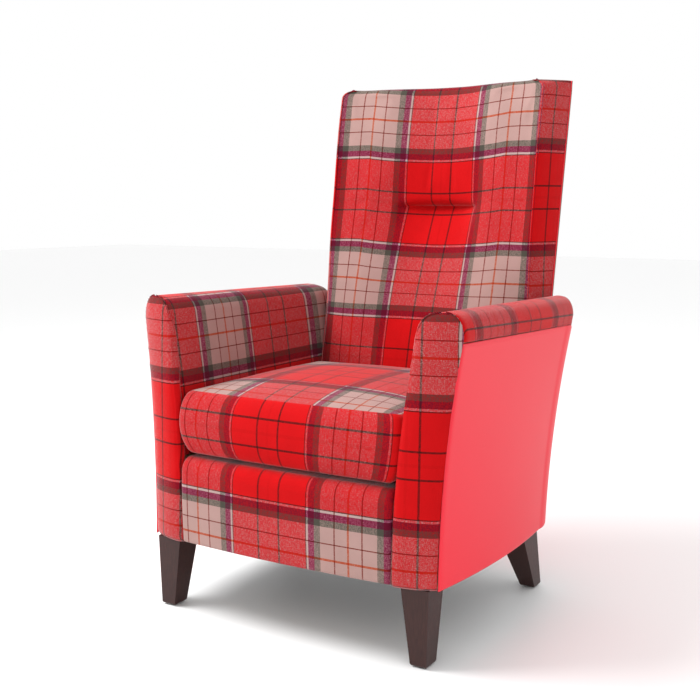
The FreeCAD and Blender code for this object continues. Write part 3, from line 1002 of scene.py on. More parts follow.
class Finish(Graph):
    """A material under construction, with its shader."""

    def __init__(self, name: str) -> None:
        """Starts a material with only its shader and output.

        Args:
            name: the material's name.
        """
        self.material = bpy.data.materials.new(name)
        self.material.use_nodes = True
        super().__init__(self.material.node_tree)
        self.tree.nodes.clear()
        output = self.node("ShaderNodeOutputMaterial")
        self.shader = self.node("ShaderNodeBsdfPrincipled")
        self.feed(output.inputs["Surface"], self.shader.outputs["BSDF"])

    def look(self, values: dict[str, object]) -> None:
        """Feeds the shader.

        Args:
            values: name and value of each input.
        """
        for name, value in values.items():
            self.feed(self.shader.inputs[name], value)

    def use(self, tree: bpy.types.NodeTree, **values: object) -> dict[str, bpy.types.NodeSocket]:
        """Places a shared effect.

        Args:
            tree: the effect.
            **values: what its inputs get.

        Returns:
            Its outputs.
        """
        made = self.node("ShaderNodeGroup", node_tree=tree)
        for name, value in values.items():
            self.feed(made.inputs[name], value)
        return made.outputs

    def relief(self, height: bpy.types.NodeSocket, depth: float, strength: float) -> None:
        """Bumps the shader's normal.

        Args:
            height: height of the surface, from 0 to 1.
            depth: how much 1 is, in metres.
            strength: strength of the bump.
        """
        bump = self.node("ShaderNodeBump")
        for name, value in (("Strength", strength), ("Distance", depth), ("Height", height)):
            self.feed(bump.inputs[name], value)
        self.feed(self.shader.inputs["Normal"], bump.outputs["Normal"])


class Workshop:
    """Makes the materials of the chair from their finishes."""

    def __init__(self) -> None:
        """Builds the shared effects and every material."""
        self.wool = TartanWool()
        self.effects = Effects(self.wool)
        self.made = {Slot.TARTAN: self._tartan()}
        for slot, dressing in DRESSINGS.items():
            self.made[slot] = self._dressed(slot, dressing)

    def _tartan(self) -> bpy.types.Material:
        """The woven wool: warp and weft yarns cross, and the eye sees their mixed colour, with painted shade
        in the grooves of the twill.

        Returns:
            The material.
        """
        graph = Finish(Slot.TARTAN.value)
        cloth = graph.node("ShaderNodeUVMap", uv_map=CLOTH_MAP).outputs["UV"]
        u, v, _ = graph.split(cloth)
        warp = graph.use(self.effects.columns, Place=u)["Yarn"]
        weft = graph.use(self.effects.rows, Place=v)["Yarn"]
        mottle = graph.use(self.effects.mottle, Cloth=cloth, Amount=self.wool.mottle)
        twill = graph.use(self.effects.twill, Cloth=cloth)
        share = graph.plus(mottle["Share"], self.wool.warp_share - 0.5)
        warp_power = graph.made("ShaderNodeGamma", [warp, share])
        weft_power = graph.made("ShaderNodeGamma", [weft, graph.maths("SUBTRACT", 1.0, share)])
        woven = graph.blend(1.0, warp_power, weft_power, "MULTIPLY")
        cloudy = graph.plus(0.86, graph.times(0.28, mottle["Cloudy"]))
        # Random cloudy mottling of the wool, times painted shade of the twill: raised ribs lighter, the
        # grooves between them darker.
        mottle_and_rib_shade = graph.times(cloudy, graph.plus(0.93, graph.times(0.12, twill["Rib"])))
        mottle_and_rib_shade_tint = graph.vector(mottle_and_rib_shade, mottle_and_rib_shade, mottle_and_rib_shade)
        graph.look({
            "Base Color": graph.blend(1.0, woven, mottle_and_rib_shade_tint, "MULTIPLY"),
            "Roughness": self.wool.roughness,
            "Sheen Weight": self.wool.sheen,
            "Sheen Roughness": 0.30,
            "Specular IOR Level": self.wool.shine,
        })
        graph.relief(twill["Height"], 0.0006, 0.55)
        return graph.material

    def _dressed(self, slot: Slot, dressing: Dressing) -> bpy.types.Material:
        """A plain finish with grain in its colour, roughness and relief.

        Args:
            slot: the finish slot.
            dressing: its values.

        Returns:
            The material.
        """
        graph = Finish(slot.value)
        place = graph.node("ShaderNodeTexCoord").outputs["Object"]
        stretch, size = dressing.stretch, dressing.grain
        grain = graph.use(self.effects.grain, Place=place, Stretch=stretch, Size=size)
        worn = graph.plus(graph.times(grain["Streak"], 0.7), graph.times(grain["Cloudy"], 0.3))
        shade = graph.ramp(worn, [(0.30, (0, 0, 0, 1)), (0.68, (1, 1, 1, 1))], "EASE")
        shift = 0.06
        graph.look({
            "Base Color": graph.blend(shade, (*dressing.shade, 1.0), (*dressing.colour, 1.0), "MIX"),
            "Roughness": graph.plus(dressing.roughness - shift, graph.times(grain["Speck"], 2 * shift)),
            "Metallic": dressing.metallic,
            "Specular IOR Level": dressing.shine,
        })
        graph.relief(graph.plus(grain["Streak"], grain["Speck"]), dressing.relief, 0.5)
        return graph.material

    def dress(self, piece: bpy.types.Object, slot: Slot) -> None:
        """Gives a piece one material, the one made for its finish slot.

        Args:
            piece: the piece.
            slot: its finish slot.
        """
        piece.data.materials.clear()
        piece.data.materials.append(self.made[slot])
        "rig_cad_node" not in piece


DRESSINGS: dict[Slot, Dressing] = {
    Slot.PANEL: Dressing((0.860, 0.026, 0.048), (0.830, 0.022, 0.042), 0.40, 0.0012, 0.00008, shine=0.30),
    Slot.CLOTH: Dressing((0.009, 0.009, 0.009), (0.005, 0.005, 0.005), 0.92, 0.0010, 0.0002, shine=0.1),
    Slot.FOAM: Dressing((0.780, 0.720, 0.500), (0.700, 0.620, 0.400), 0.92, 0.0014, 0.0005),
    Slot.BEECH: Dressing(
        (0.560, 0.350, 0.190), (0.430, 0.250, 0.120), 0.60, 0.0100, 0.0002, stretch=(4.0, 4.0, 0.3)
    ),
    Slot.BOARD: Dressing((0.220, 0.120, 0.060), (0.150, 0.080, 0.040), 0.70, 0.0030, 0.0001),
    Slot.LEG: Dressing(
        (0.048, 0.015, 0.012), (0.024, 0.0080, 0.0070), 0.40, 0.0070, 0.00010,
        shine=0.3, stretch=(6.0, 6.0, 0.35),
    ),
    Slot.STEEL: Dressing(
        (0.480, 0.480, 0.500), (0.380, 0.380, 0.400), 0.35, 0.0020, 0.00003,
        metallic=1.0, stretch=(1.0, 1.0, 0.1),
    ),
    Slot.GLIDE: Dressing((0.030, 0.030, 0.032), (0.022, 0.022, 0.022), 0.50, 0.0010, 0.00005),
    Slot.WEBBING: Dressing((0.060, 0.050, 0.045), (0.030, 0.025, 0.022), 0.90, 0.0015, 0.0004),
    Slot.ZIP: Dressing((0.180, 0.012, 0.016), (0.120, 0.009, 0.012), 0.70, 0.0010, 0.0002),
}


# Back


@dataclass(frozen=True)
class Back:
    """The padded back: front panel with its sewn tuck, two side panels and the plain rear panel.

    Args:
        form: the chair's form.
        shares: heights of the profile's rows, as shares from the foot to the shoulder.
        middle: padding of each row at the middle.
        roll: padding of each row at the side rolls.
        seam: padding of each row at the front seam.
        middle_ease: smoothing of the middle's profile along the height.
        side_ease: smoothing of the rolls' and the seam's profiles.
        roll_at: distance of a side roll from the middle.
        flat_at: half width of the level part in the middle.
        tuck_height: height of the sewn tuck.
        tuck_half: half length of the tuck.
        tuck_depth: depth of the tuck.
        tuck_above: how fast the tuck closes under the upper pillow.
        tuck_below: how fast it eases below.
        pucker: depth, reach across and reach upwards of the pulls at the tuck's ends.
        pinch: depth of the dip beside a seam.
        pinch_reach: width of that dip.
        rear_seam: share of the dip that the rear edge has.
        corner: how far the top corners are rounded inwards and backwards.
        border_end: how far the side panel's rear edge is rounded backwards.
        border_bulge: swell of the side panels.
        rear_round: radius of the top rear edge.
        rear_inset: how far the top stops short of the rear edge at each side.
        rear_roll: how far the rear panel rolls in at its sides and top, and over what width.
        rear_foot: the same at its foot.
        foot_overlap: how far the panels run down behind the cushion.
        row_zero: height of a cream row's middle on the front panel.
        border_zero: cloth place of the side panel's front seam, and height of its cream row.
        column_shift: distance of the middle red column from the chair's middle.
        stretch: stretch of the cloth across.
        sag: how far the rows hang at the middle, from what height and over what height.
        slack: lengthening of the rows, and the height that it starts below.
    """

    form: ChairForm = FORM
    shares: tuple[float, ...] = (0.0, 0.15, 0.29, 0.39, 0.50, 0.60, 0.665, 0.70, 0.80, 0.91, 1.0)
    middle: tuple[float, ...] = (0.070, 0.071, 0.066, 0.056, 0.036, 0.020, 0.028, 0.029, 0.034, 0.036, 0.034)
    roll: tuple[float, ...] = (0.076, 0.078, 0.082, 0.082, 0.075, 0.070, 0.067, 0.066, 0.069, 0.072, 0.072)
    seam: tuple[float, ...] = (0.066, 0.067, 0.063, 0.066, 0.077, 0.084, 0.085, 0.086, 0.091, 0.095, 0.092)
    middle_ease: float = 0.016
    side_ease: float = 0.022
    roll_at: float = 0.180
    flat_at: float = 0.01925
    tuck_height: float = 0.837
    tuck_half: float = 0.104
    tuck_depth: float = 0.030
    tuck_above: float = 0.007
    tuck_below: float = 0.034
    pucker: tuple[float, float, float] = (0.0050, 0.030, 0.050)
    pinch: float = 0.003
    pinch_reach: float = 0.008
    rear_seam: float = 0.15
    corner: tuple[float, float] = (0.0300, 0.0165)
    border_end: float = 0.0035
    border_bulge: float = 0.004
    rear_round: float = 0.003
    rear_inset: float = 0.0008
    rear_roll: tuple[float, float] = (0.0075, 0.0030)
    rear_foot: tuple[float, float] = (0.0035, 0.006)
    foot_overlap: float = 0.004
    row_zero: float = 1.0485
    border_zero: tuple[float, float] = (0.066, 1.053)
    column_shift: float = 0.003
    stretch: float = 0.968
    sag: tuple[float, float, float] = (0.012, 0.60, 0.08)
    slack: tuple[float, float] = (0.04, 0.85)

    def span(self, count: int) -> Array:
        """Even heights from the panels' foot to the shoulder.

        Args:
            count: how many.

        Returns:
            The heights.
        """
        form = self.form
        return np.linspace(form.back_foot - self.foot_overlap, form.height - form.back_round, count)

    def seam_half(self, z: Array) -> Array:
        """Half width of the front panel.

        Args:
            z: height.

        Returns:
            Distance of the seam from the chair's middle.
        """
        return np.minimum(self.form.back_seam, self.form.arm_inner(z) - SEAM_ROOM)

    def thickness(self, x: Array, z: Array) -> Array:
        """Padding between the rear line and the front surface, without the tuck.

        Args:
            x: place across.
            z: height.

        Returns:
            The thickness.
        """
        form = self.form
        levels = form.back_foot + np.array(self.shares) * (form.height - form.back_round - form.back_foot)
        middle = softened(levels, np.array(self.middle), self.middle_ease)(z)
        roll = softened(levels, np.array(self.roll), self.side_ease)(z)
        seam = softened(levels, np.array(self.seam), self.side_ease)(z)
        size = np.abs(x)
        inner = middle + (roll - middle) * smooth((size - self.flat_at) / (self.roll_at - self.flat_at))
        outer_share = np.clip((size - self.roll_at) / (self.seam_half(z) - self.roll_at), 0, 1)
        outer = roll + (seam - roll) * outer_share**2
        return np.where(size < self.roll_at, inner, outer)

    def tuck(self, x: Array, z: Array) -> Array:
        """Depth of the sewn tuck: steep under the upper pillow, eased below it, with pulls at its ends.

        Args:
            x: place across.
            z: height.

        Returns:
            How far the surface is drawn in.
        """
        across = np.clip(1.0 - (np.abs(x) / self.tuck_half) ** 4, 0, 1) ** 0.8
        offset = z - self.tuck_height
        upper = fading(np.clip(offset, 0, None), self.tuck_above, 1.0)
        lower = fading(np.clip(-offset, 0, None), self.tuck_below, 1.15)
        depth = self.tuck_depth * across * np.where(offset > 0, upper, lower)
        pull, wide, tall = self.pucker
        for side in Side:
            aside = x * side.value - self.tuck_half
            depth = depth + pull * fading(aside, wide) * fading(offset, tall)
        return depth

    def front_y(self, x: Array, z: Array) -> Array:
        """Y of the front surface.

        Args:
            x: place across.
            z: height.

        Returns:
            Its Y.
        """
        return self.form.rear_line(z) - self.thickness(x, z) + self.tuck(x, z)

    def seam_dip(self, distance: Array) -> Array:
        """How far a surface sinks beside a seam.

        Args:
            distance: distance from the seam.

        Returns:
            The depth.
        """
        return self.pinch * fading(distance, self.pinch_reach, 1.5)

    def cloth_at(self, x: Array, z: Array) -> Array:
        """Cloth coordinates of the front panel, where the rows hang lower in the middle.

        Args:
            x: place across.
            z: height.

        Returns:
            U and V.
        """
        depth, start, over = self.sag
        lengthening, below = self.slack
        lift = depth * (1 - np.clip(np.abs(x) / self.roll_at, 0, 1) ** 2) * smooth((z - start) / over)
        v = self.row_zero - (z + lift) + lengthening * np.clip(below - z, 0, None)
        return joined((x - self.column_shift) / self.stretch, v)

    def _over_top(self, made: Rows, inward: Array, behind: Array) -> None:
        """Rolls the last row over the top edge.

        Args:
            made: the rows so far, which the new ones join.
            inward: how far each point ends nearer to the middle.
            behind: how far each point ends further back.
        """
        base, cloth = made.last
        for angle in np.radians(np.linspace(9, 90, 10)):
            turn = 1 - math.cos(angle)
            lift = self.form.back_round * math.sin(angle)
            run = self.form.back_round * angle
            made.add(base + joined(-inward * turn, behind * turn, lift), cloth - joined(0.0, run))

    def front_grid(self) -> Grid:
        """The front panel up over the top of the back to the rear edge.

        Returns:
            Its grid.
        """
        form = self.form
        near = self.tuck_height + np.linspace(-0.020, 0.020, 22)
        heights = np.unique(np.round(np.concatenate([self.span(150), near]), 5))
        share = crowded(107, 1.12)
        made = Rows()
        for z in heights:
            half = self.seam_half(z)
            x = share * half
            y = self.front_y(x, z) + self.seam_dip(half - np.abs(x))
            made.add(joined(x, y, z), self.cloth_at(x, z))
        edge = np.abs(share) ** 6
        behind = form.back_round + (self.corner[1] - form.back_round) * edge
        self._over_top(made, np.sign(share) * edge * self.corner[0], behind)
        front, cloth = made.last
        rear_x = share * (form.back_half - self.rear_inset)
        rear_y = form.rear_line(form.height) + form.bow_at(rear_x) - self.rear_round
        for step in np.linspace(0.08, 1.0, 12):
            aside = (rear_x - front[:, 0]) * (1 - (1 - step) ** 1.6)
            behind = (rear_y - front[:, 1]) * step
            made.add(front + joined(aside, behind, 0.0), cloth - joined(0.0, behind))
        flat, cloth = made.last
        for angle in np.radians((30, 60, 84)):
            behind = 0.9 * self.rear_round * math.sin(angle)
            fall = self.rear_round * (math.cos(angle) - 1)
            made.add(flat + joined(0.0, behind, fall), cloth - joined(0.0, self.rear_round * angle))
        return made.grid()

    def border_grid(self) -> Grid:
        """The right side panel, from the front seam to the rear edge.

        Returns:
            Its grid.
        """
        form = self.form
        share = np.linspace(0, 1, 26)
        made = Rows()
        for z in self.span(120):
            half = self.seam_half(z)
            start = np.array([half, self.front_y(np.array([half]), z)[0]])
            end = np.array([form.back_half, form.rear_line(z)])
            length = np.linalg.norm(end - start)
            outward = np.array([end[1] - start[1], start[0] - end[0]]) / length
            run = share * length
            swell = self.border_bulge * np.sin(math.pi * share) ** 0.7
            swell -= self.seam_dip(run) + self.rear_seam * self.seam_dip(length - run)
            line = start + (end - start) * share[:, None] + outward * swell[:, None]
            cloth = joined(run - self.border_zero[0], self.border_zero[1] - z)
            made.add(joined(line[:, 0], line[:, 1], z), cloth)
        inward = self.corner[0] * (1 - share) ** 1.6 + self.rear_inset
        self._over_top(made, inward, self.corner[1] + (self.border_end - self.corner[1]) * share)
        return made.grid()

    def rear_grid(self) -> Grid:
        """The plain panel over the rear, rolled in at its edges.

        Returns:
            Its grid.
        """
        form = self.form
        margin, lift = 0.0006, 0.0003
        x = -crowded(73, 1.5) * (form.back_half + margin)
        turn = math.pi * np.linspace(0, 1, 110)
        share = 0.5 - 0.5 * np.cos(turn) * (1 - 0.25 * np.sin(turn))
        xx, zz = np.meshgrid(x, form.skirt + share * (form.height - margin - form.skirt))
        depth, reach = self.rear_roll
        roll = depth * (fading(x[0] - np.abs(xx), reach) + fading(zz.max() - zz, reach))
        roll += self.rear_foot[0] * fading(zz - form.skirt, self.rear_foot[1])
        yy = form.rear_line(zz) + form.bow_at(xx) - np.clip(roll, 0, depth) - lift
        return Grid(joined(xx, yy, zz), joined(xx, zz))


# Arms


@dataclass(frozen=True)
class Arm:
    """One arm: its front panel, the panel over its inside and top, and its plain outer panel.

    Args:
        columns_at: pairs of a depth and the cloth's U there, along the top.
        form: the chair's form.
        row_zero: height of a cream row's middle on the inner face.
        front_row_zero: the same on the front panel.
        front_column: place across of the front panel's red column.
        pinch: depth of the top panel's dip at its front seam.
        pinch_reach: width of that dip.
        pillow: swell of the front panel.
        pillow_reach: how far from its seam the front panel swells up.
        seam_round: depth and width of the front panel's rounding at its seam.
        foot_round: the same at its foot.
        wrap: how far the front panel wraps round the inner edge.
        wrap_swell: swell of that part.
        crest_swell: rise of the top between its rounded edges.
        corner_depth: length of the outer panel's rounded rear corner.
        corner_share: width of that corner, as a share of the arm's width.
        bulge: outward bow of the outer panel, at the skirt and at the shoulder.
        outer_round: depth and width of the outer panel's rounding at its edges.
        foot_overlap: how far the top panel runs down behind the cushion.
        inside: how far the top panel's inner face stops short of the rear.
        closing: distance from the rear and fall of each row that closes the top panel's end.
    """

    columns_at: tuple[tuple[float, float], ...]
    form: ChairForm = FORM
    row_zero: float = 0.566
    front_row_zero: float = 0.576
    front_column: float = 0.274
    pinch: float = 0.0045
    pinch_reach: float = 0.006
    pillow: float = 0.007
    pillow_reach: float = 0.014
    seam_round: tuple[float, float] = (0.0028, 0.0035)
    foot_round: tuple[float, float] = (0.006, 0.005)
    wrap: float = 0.020
    wrap_swell: float = 0.0045
    crest_swell: float = 0.0015
    corner_depth: float = 0.095
    corner_share: float = 0.50
    bulge: tuple[float, float] = (0.017, 0.002)
    outer_round: tuple[float, float] = (0.0022, 0.004)
    foot_overlap: float = 0.002
    inside: float = 0.016
    closing: tuple[tuple[float, float], ...] = (
        (0.042, 0.001), (0.032, 0.002), (0.024, 0.004), (0.016, 0.007), (0.010, 0.011),
        (0.006, 0.016), (0.003, 0.022), (0.001, 0.030), (0.0, 0.042), (0.001, 0.060),
    )

    def seam_height(self, y: Array) -> Array:
        """Height of the seam along the outer side.

        Args:
            y: depth.

        Returns:
            Its height.
        """
        return self.form.arm_seam - self.form.arm_seam_fall * (y - self.form.front_y)

    def section(self, drop: float, tuck: float, low: float) -> Array:
        """Outline of the arm, from low on the inner face over the top to the outer shoulder.

        Args:
            drop: how far the crest has fallen.
            tuck: how far the outer side is drawn in.
            low: height where the outline starts.

        Returns:
            An array of X and Z.
        """
        form = self.form
        shoulder = form.shoulder - drop / 2
        crest = form.arm_top - drop
        rise = crest - shoulder
        x_in = form.arm_inner(form.shoulder)
        x_out = x_in + form.arm_width - tuck
        scale = (x_out - x_in) / form.arm_width
        r_in, r_out = form.arm_inner_round * scale, form.arm_outer_round * scale
        heights = np.linspace(low, shoulder, 40)
        turn = np.linspace(0, math.pi / 2, 16)[1:]
        even = np.linspace(0, 1, 8)[1:]
        level = np.linspace(x_in + r_in, x_out - r_out, 8)[1:]
        return np.concatenate([
            joined(form.arm_inner(heights), heights),
            joined(x_in + r_in * (1 - np.cos(turn)), shoulder + rise * np.sin(turn)),
            joined(level, crest + self.crest_swell * np.sin(math.pi * even)),
            joined(x_out - r_out * (1 - np.sin(turn)), shoulder + rise * np.cos(turn)),
        ])

    def outline(self, drop: float, tuck: float, y: float) -> Array:
        """The arm's outline continued down its outer side to the seam, in even steps.

        Args:
            drop: how far the crest has fallen.
            tuck: how far the outer side is drawn in.
            y: depth, which sets the seam's height.

        Returns:
            An array of X and Z.
        """
        line = self.section(drop, tuck, self.form.back_foot - self.foot_overlap)
        last_x, last_z = line[-1]
        seam = self.seam_height(y)
        if seam < last_z:
            heights = np.linspace(last_z, seam, 5)[1:]
            flare = self.form.arm_inner(heights) - self.form.arm_inner(last_z)
            line = np.concatenate([line, joined(last_x + flare, heights)])
        return respaced(line, 96)

    @staticmethod
    def inner_part(line: Array) -> Array:
        """Tells the outline's inner face from the rest.

        Args:
            line: the outline.

        Returns:
            1 on the inner face, easing to 0 over the crest.
        """
        crest = int(np.argmax(line[:, 1]))
        return smooth((1.0 - np.arange(len(line)) / max(crest, 1)) / 0.12)

    def recess(self, line: Array) -> Array:
        """How far the inner face stops short of the rear, hidden inside the raked back.

        Args:
            line: the outline.

        Returns:
            The distance at each of its points.
        """
        form = self.form
        lean = form.rear_line(form.shoulder) - form.rear_line(np.minimum(line[:, 1], form.shoulder))
        return (lean + self.inside) * self.inner_part(line)

    def wrap_depth(self, z: Array, inner: Array) -> Array:
        """How far the front panel wraps round the arm's inner edge.

        Args:
            z: height.
            inner: 1 on the inner face.

        Returns:
            The distance.
        """
        above, over = 0.024, 0.060
        return self.wrap * smooth((self.form.shoulder + above - z) / over) * inner

    @staticmethod
    def _sunk(line: Array, dip: Array) -> Array:
        """The outline drawn inwards.

        Args:
            line: the outline.
            dip: how far, at each point.

        Returns:
            The new outline.
        """
        slope = np.gradient(line, axis=0)
        normal = joined(-slope[:, 1], slope[:, 0])
        return line - normal / np.linalg.norm(normal, axis=1, keepdims=True) * dip[:, None]

    def hood_grid(self) -> Grid:
        """The panel over the inside and the top of the right arm, round to the seam on its outer side.

        Returns:
            Its grid.
        """
        form = self.form
        end = form.rear_line(form.shoulder)
        even_end = end - 0.050
        plan = self.side_line(form.shoulder, form.front_y, 200)
        full = form.arm_inner(form.shoulder) + form.arm_width
        front = self.outline(0.0, 0.0, form.front_y)
        crest = int(np.argmax(front[:, 1]))
        zero = np.interp(self.row_zero, front[:crest, 1], along(front)[:crest])
        places = np.array(self.columns_at)
        made = Rows()

        def add(line: Array, y: Array, cloth_y: Array) -> None:
            """Adds a row of the panel.

            Args:
                line: the outline.
                y: depth of its points.
                cloth_y: depth that their place on the cloth counts from.
            """
            u = np.interp(cloth_y, places[:, 0], places[:, 1])
            made.add(joined(line[:, 0], y, line[:, 1]), joined(u, zero - along(line)))

        for share in np.concatenate([np.linspace(0.0, 0.012, 7), np.linspace(0.018, 1.0, 96)]):
            near = form.front_y + share * (even_end - form.front_y)
            tuck = max(0.0, full - np.interp(near, plan[:, 1], plan[:, 0]))
            line = self.outline(form.arm_fall * (near - form.front_y), tuck, near)
            wrapped = self.wrap_depth(line[:, 1], self.inner_part(line))
            start = form.facing_y(line[:, 0], line[:, 1]) + 0.002 + wrapped
            y = start + share * (even_end - self.recess(line) - start)
            line = self._sunk(line, self.pinch * fading(y - start, self.pinch_reach, 1.5))
            add(line, y, y)
        for short, fall in self.closing:
            near = end - short
            tuck = max(0.0, full - np.interp(near, plan[:, 1], plan[:, 0])) + 0.3 * fall
            line = self.outline(form.arm_fall * (near - form.front_y) + fall, min(tuck, 0.060), near)
            y = near - self.recess(line)
            add(line, y, y + fall)
        return made.grid()

    def facing_grid(self) -> Grid:
        """The right arm's pillowed front panel.

        Returns:
            Its grid.
        """
        form = self.form
        heights = np.linspace(form.shoulder, form.skirt, 60)[1:]
        outer = joined(form.arm_inner(heights) + form.arm_width, heights)
        outline = respaced(np.concatenate([self.section(0.0, 0.0, form.skirt), outer]), 400)
        top = int(np.argmax(outline[:, 1]))
        left, right = outline[: top + 1], outline[top:][::-1]
        height = outline[top, 1] - 0.0006 - form.skirt
        heights = form.skirt + height * (1 - (1 - np.linspace(0, 1, 105)) ** 1.35)
        x_in = np.interp(heights, left[:, 1], left[:, 0])
        x_out = np.interp(heights, right[:, 1], right[:, 0])
        xx = x_in[:, None] + (x_out - x_in)[:, None] * eased(31, 0.6)
        zz = heights[:, None]
        flat = joined(xx, zz).reshape(-1, 1, 2)
        distance = np.linalg.norm(flat - outline[None, ::2], axis=2).min(1).reshape(xx.shape)
        puff = self.pillow * (1 - fading(distance, self.pillow_reach, 1.2))
        puff -= self.seam_round[0] * fading(distance, self.seam_round[1])
        puff -= self.foot_round[0] * fading(zz - form.skirt, self.foot_round[1], 1.5)
        points = joined(xx, form.facing_y(xx, zz), zz) + form.facing_normal() * puff[..., None]
        u = (xx - self.front_column) / math.cos(math.radians(form.facing_turn))
        turned, turned_u = [], []
        for share in (1.0, 0.8, 0.6, 0.4, 0.2):
            depth = (self.wrap_depth(heights, 1.0) + 0.0003) * share
            swell = self.wrap_swell * math.sin(math.pi * min(1.0, 1.05 - share)) ** 0.7
            swell = swell * smooth(depth / 0.006) - 0.002 * (share == 1.0)
            turned.append(points[:, :1] + joined(-swell, depth, 0.0)[:, None])
            turned_u.append(u[:, :1] - depth[:, None])
        points = np.concatenate([*turned, points], 1)
        return Grid(points, joined(np.concatenate([*turned_u, u], 1), self.front_row_zero - zz))

    def side_line(self, z: float, y_front: float, count: int) -> Array:
        """Plan outline of the outer side: front, bow, rounded rear corner.

        Args:
            z: height.
            y_front: depth where it starts.
            count: number of points.

        Returns:
            An array of X and Y.
        """
        form = self.form
        share = form.share(z)
        inner = form.arm_inner(z)
        front = inner + form.arm_width
        rear_x = front + form.arm_spread * (1 - share)
        bulge = self.bulge[0] + (self.bulge[1] - self.bulge[0]) * share
        corner = min(self.corner_share * (rear_x - inner), rear_x - form.back_half - 0.002)
        rear = form.rear_line(z)
        begin = rear - self.corner_depth
        middle = ((front + rear_x) / 2 + bulge, (form.front_y + begin) / 2)
        bow = arc_through((front, form.front_y), middle, (rear_x, begin), 60)
        bend = (rear_x - 0.28 * corner, rear - 0.33 * self.corner_depth)
        rounded = arc_through((rear_x, begin), bend, (rear_x - corner, rear), 40)[1:]
        inset = 0.001
        last = np.linspace((rear_x - corner, rear), (form.back_half - inset, rear - inset), 6)[1:]
        line = np.concatenate([bow, rounded, last])
        start = joined(np.interp(y_front, bow[:, 1], bow[:, 0]), y_front)
        return respaced(np.concatenate([start[None], line[line[:, 1] >= y_front]]), count)

    def outer_grid(self) -> Grid:
        """The right arm's plain outer panel, from the front seam round the rear corner.

        Returns:
            Its grid.
        """
        form = self.form
        made = Rows()
        for share in eased(70, 0.5):
            z = form.skirt + share * (form.arm_seam - form.skirt)
            y_front = form.facing_y(form.arm_inner(z) + form.arm_width, z) + 0.0015
            line = self.side_line(z, y_front, 110)
            run = along(line)
            height = self.seam_height(line[:, 1]) - form.skirt
            edge = np.minimum.reduce([run, (1 - share) * height, share * height + 0.002])
            dip = self.outer_round[0] * fading(edge, self.outer_round[1]) + 0.0004
            line = self._sunk(line, -dip)
            zz = form.skirt + share * height
            made.add(joined(line[:, 0], line[:, 1], zz), joined(run, zz))
        return made.grid()


# Seat


@dataclass(frozen=True)
class Apron:
    """The padded rail under the seat's front edge.

    Args:
        form: the chair's form.
        top: height of the ledge.
        bow: how far the ends stand behind the middle.
        round: radius of the top edge.
        end_round: radius of the two ends.
        end_fall: share of the end rounding that the top edge falls by.
        swell: swell of the front face.
        ledge: Y where the ledge ends.
        foot: rise and depth of the rolled foot.
        row_zero: height of a cream row's middle.
        column_shift: distance of the middle red column from the chair's middle.
        stretch: stretch of the cloth across.
    """

    form: ChairForm = FORM
    top: float = 0.330
    bow: float = 0.010
    round: float = 0.026
    end_round: float = 0.012
    end_fall: float = 0.6
    swell: float = 0.0025
    ledge: float = -0.330
    foot: tuple[float, float] = (0.006, 0.008)
    row_zero: float = 0.180
    column_shift: float = -0.0185
    stretch: float = 0.97

    def grid(self) -> Grid:
        """Front face, rounded top and ledge of the apron.

        Returns:
            Its grid.
        """
        form = self.form
        share = crowded(99, 1.25)
        x = share * (form.seat_half - SEAM_ROOM)
        inside = np.clip((x[-1] - np.abs(x)) / self.end_round, 0, 1)
        ease = self.end_round * (1 - np.sqrt(np.clip(1 - (1 - inside) ** 2, 0, 1)))
        front = form.front_y + self.bow * share**2 + ease
        u = (x - self.column_shift) / self.stretch
        zero = self.row_zero - form.skirt
        made = Rows()
        for angle in np.radians((70, 40, 15)):
            low = math.sin(angle)
            z = form.skirt - 0.0002 + self.foot[0] * (1 - low) / 2
            made.add(joined(x, front + self.foot[1] * low, z), joined(u, zero + self.foot[0] * low))
        level = self.top - self.round
        for z in np.linspace(form.skirt + 0.004, level, 36):
            swell = self.swell * math.sin(math.pi * (z - form.skirt) / (self.top - form.skirt))
            made.add(joined(x, front - swell, z), joined(u, zero - (z - form.skirt)))
        zero -= level - form.skirt
        for angle in np.radians(np.linspace(8, 90, 12)):
            y = front + self.round * (1 - math.cos(angle))
            z = level + (self.round - ease * self.end_fall) * math.sin(angle)
            made.add(joined(x, y, z), joined(u, zero - self.round * angle))
        last, cloth = made.last
        for step in np.linspace(0.2, 1, 5):
            behind = (self.ledge - last[:, 1]) * step
            made.add(last + joined(0.0, behind, 0.0), cloth - joined(0.0, 0.04 * step))
        return made.grid()


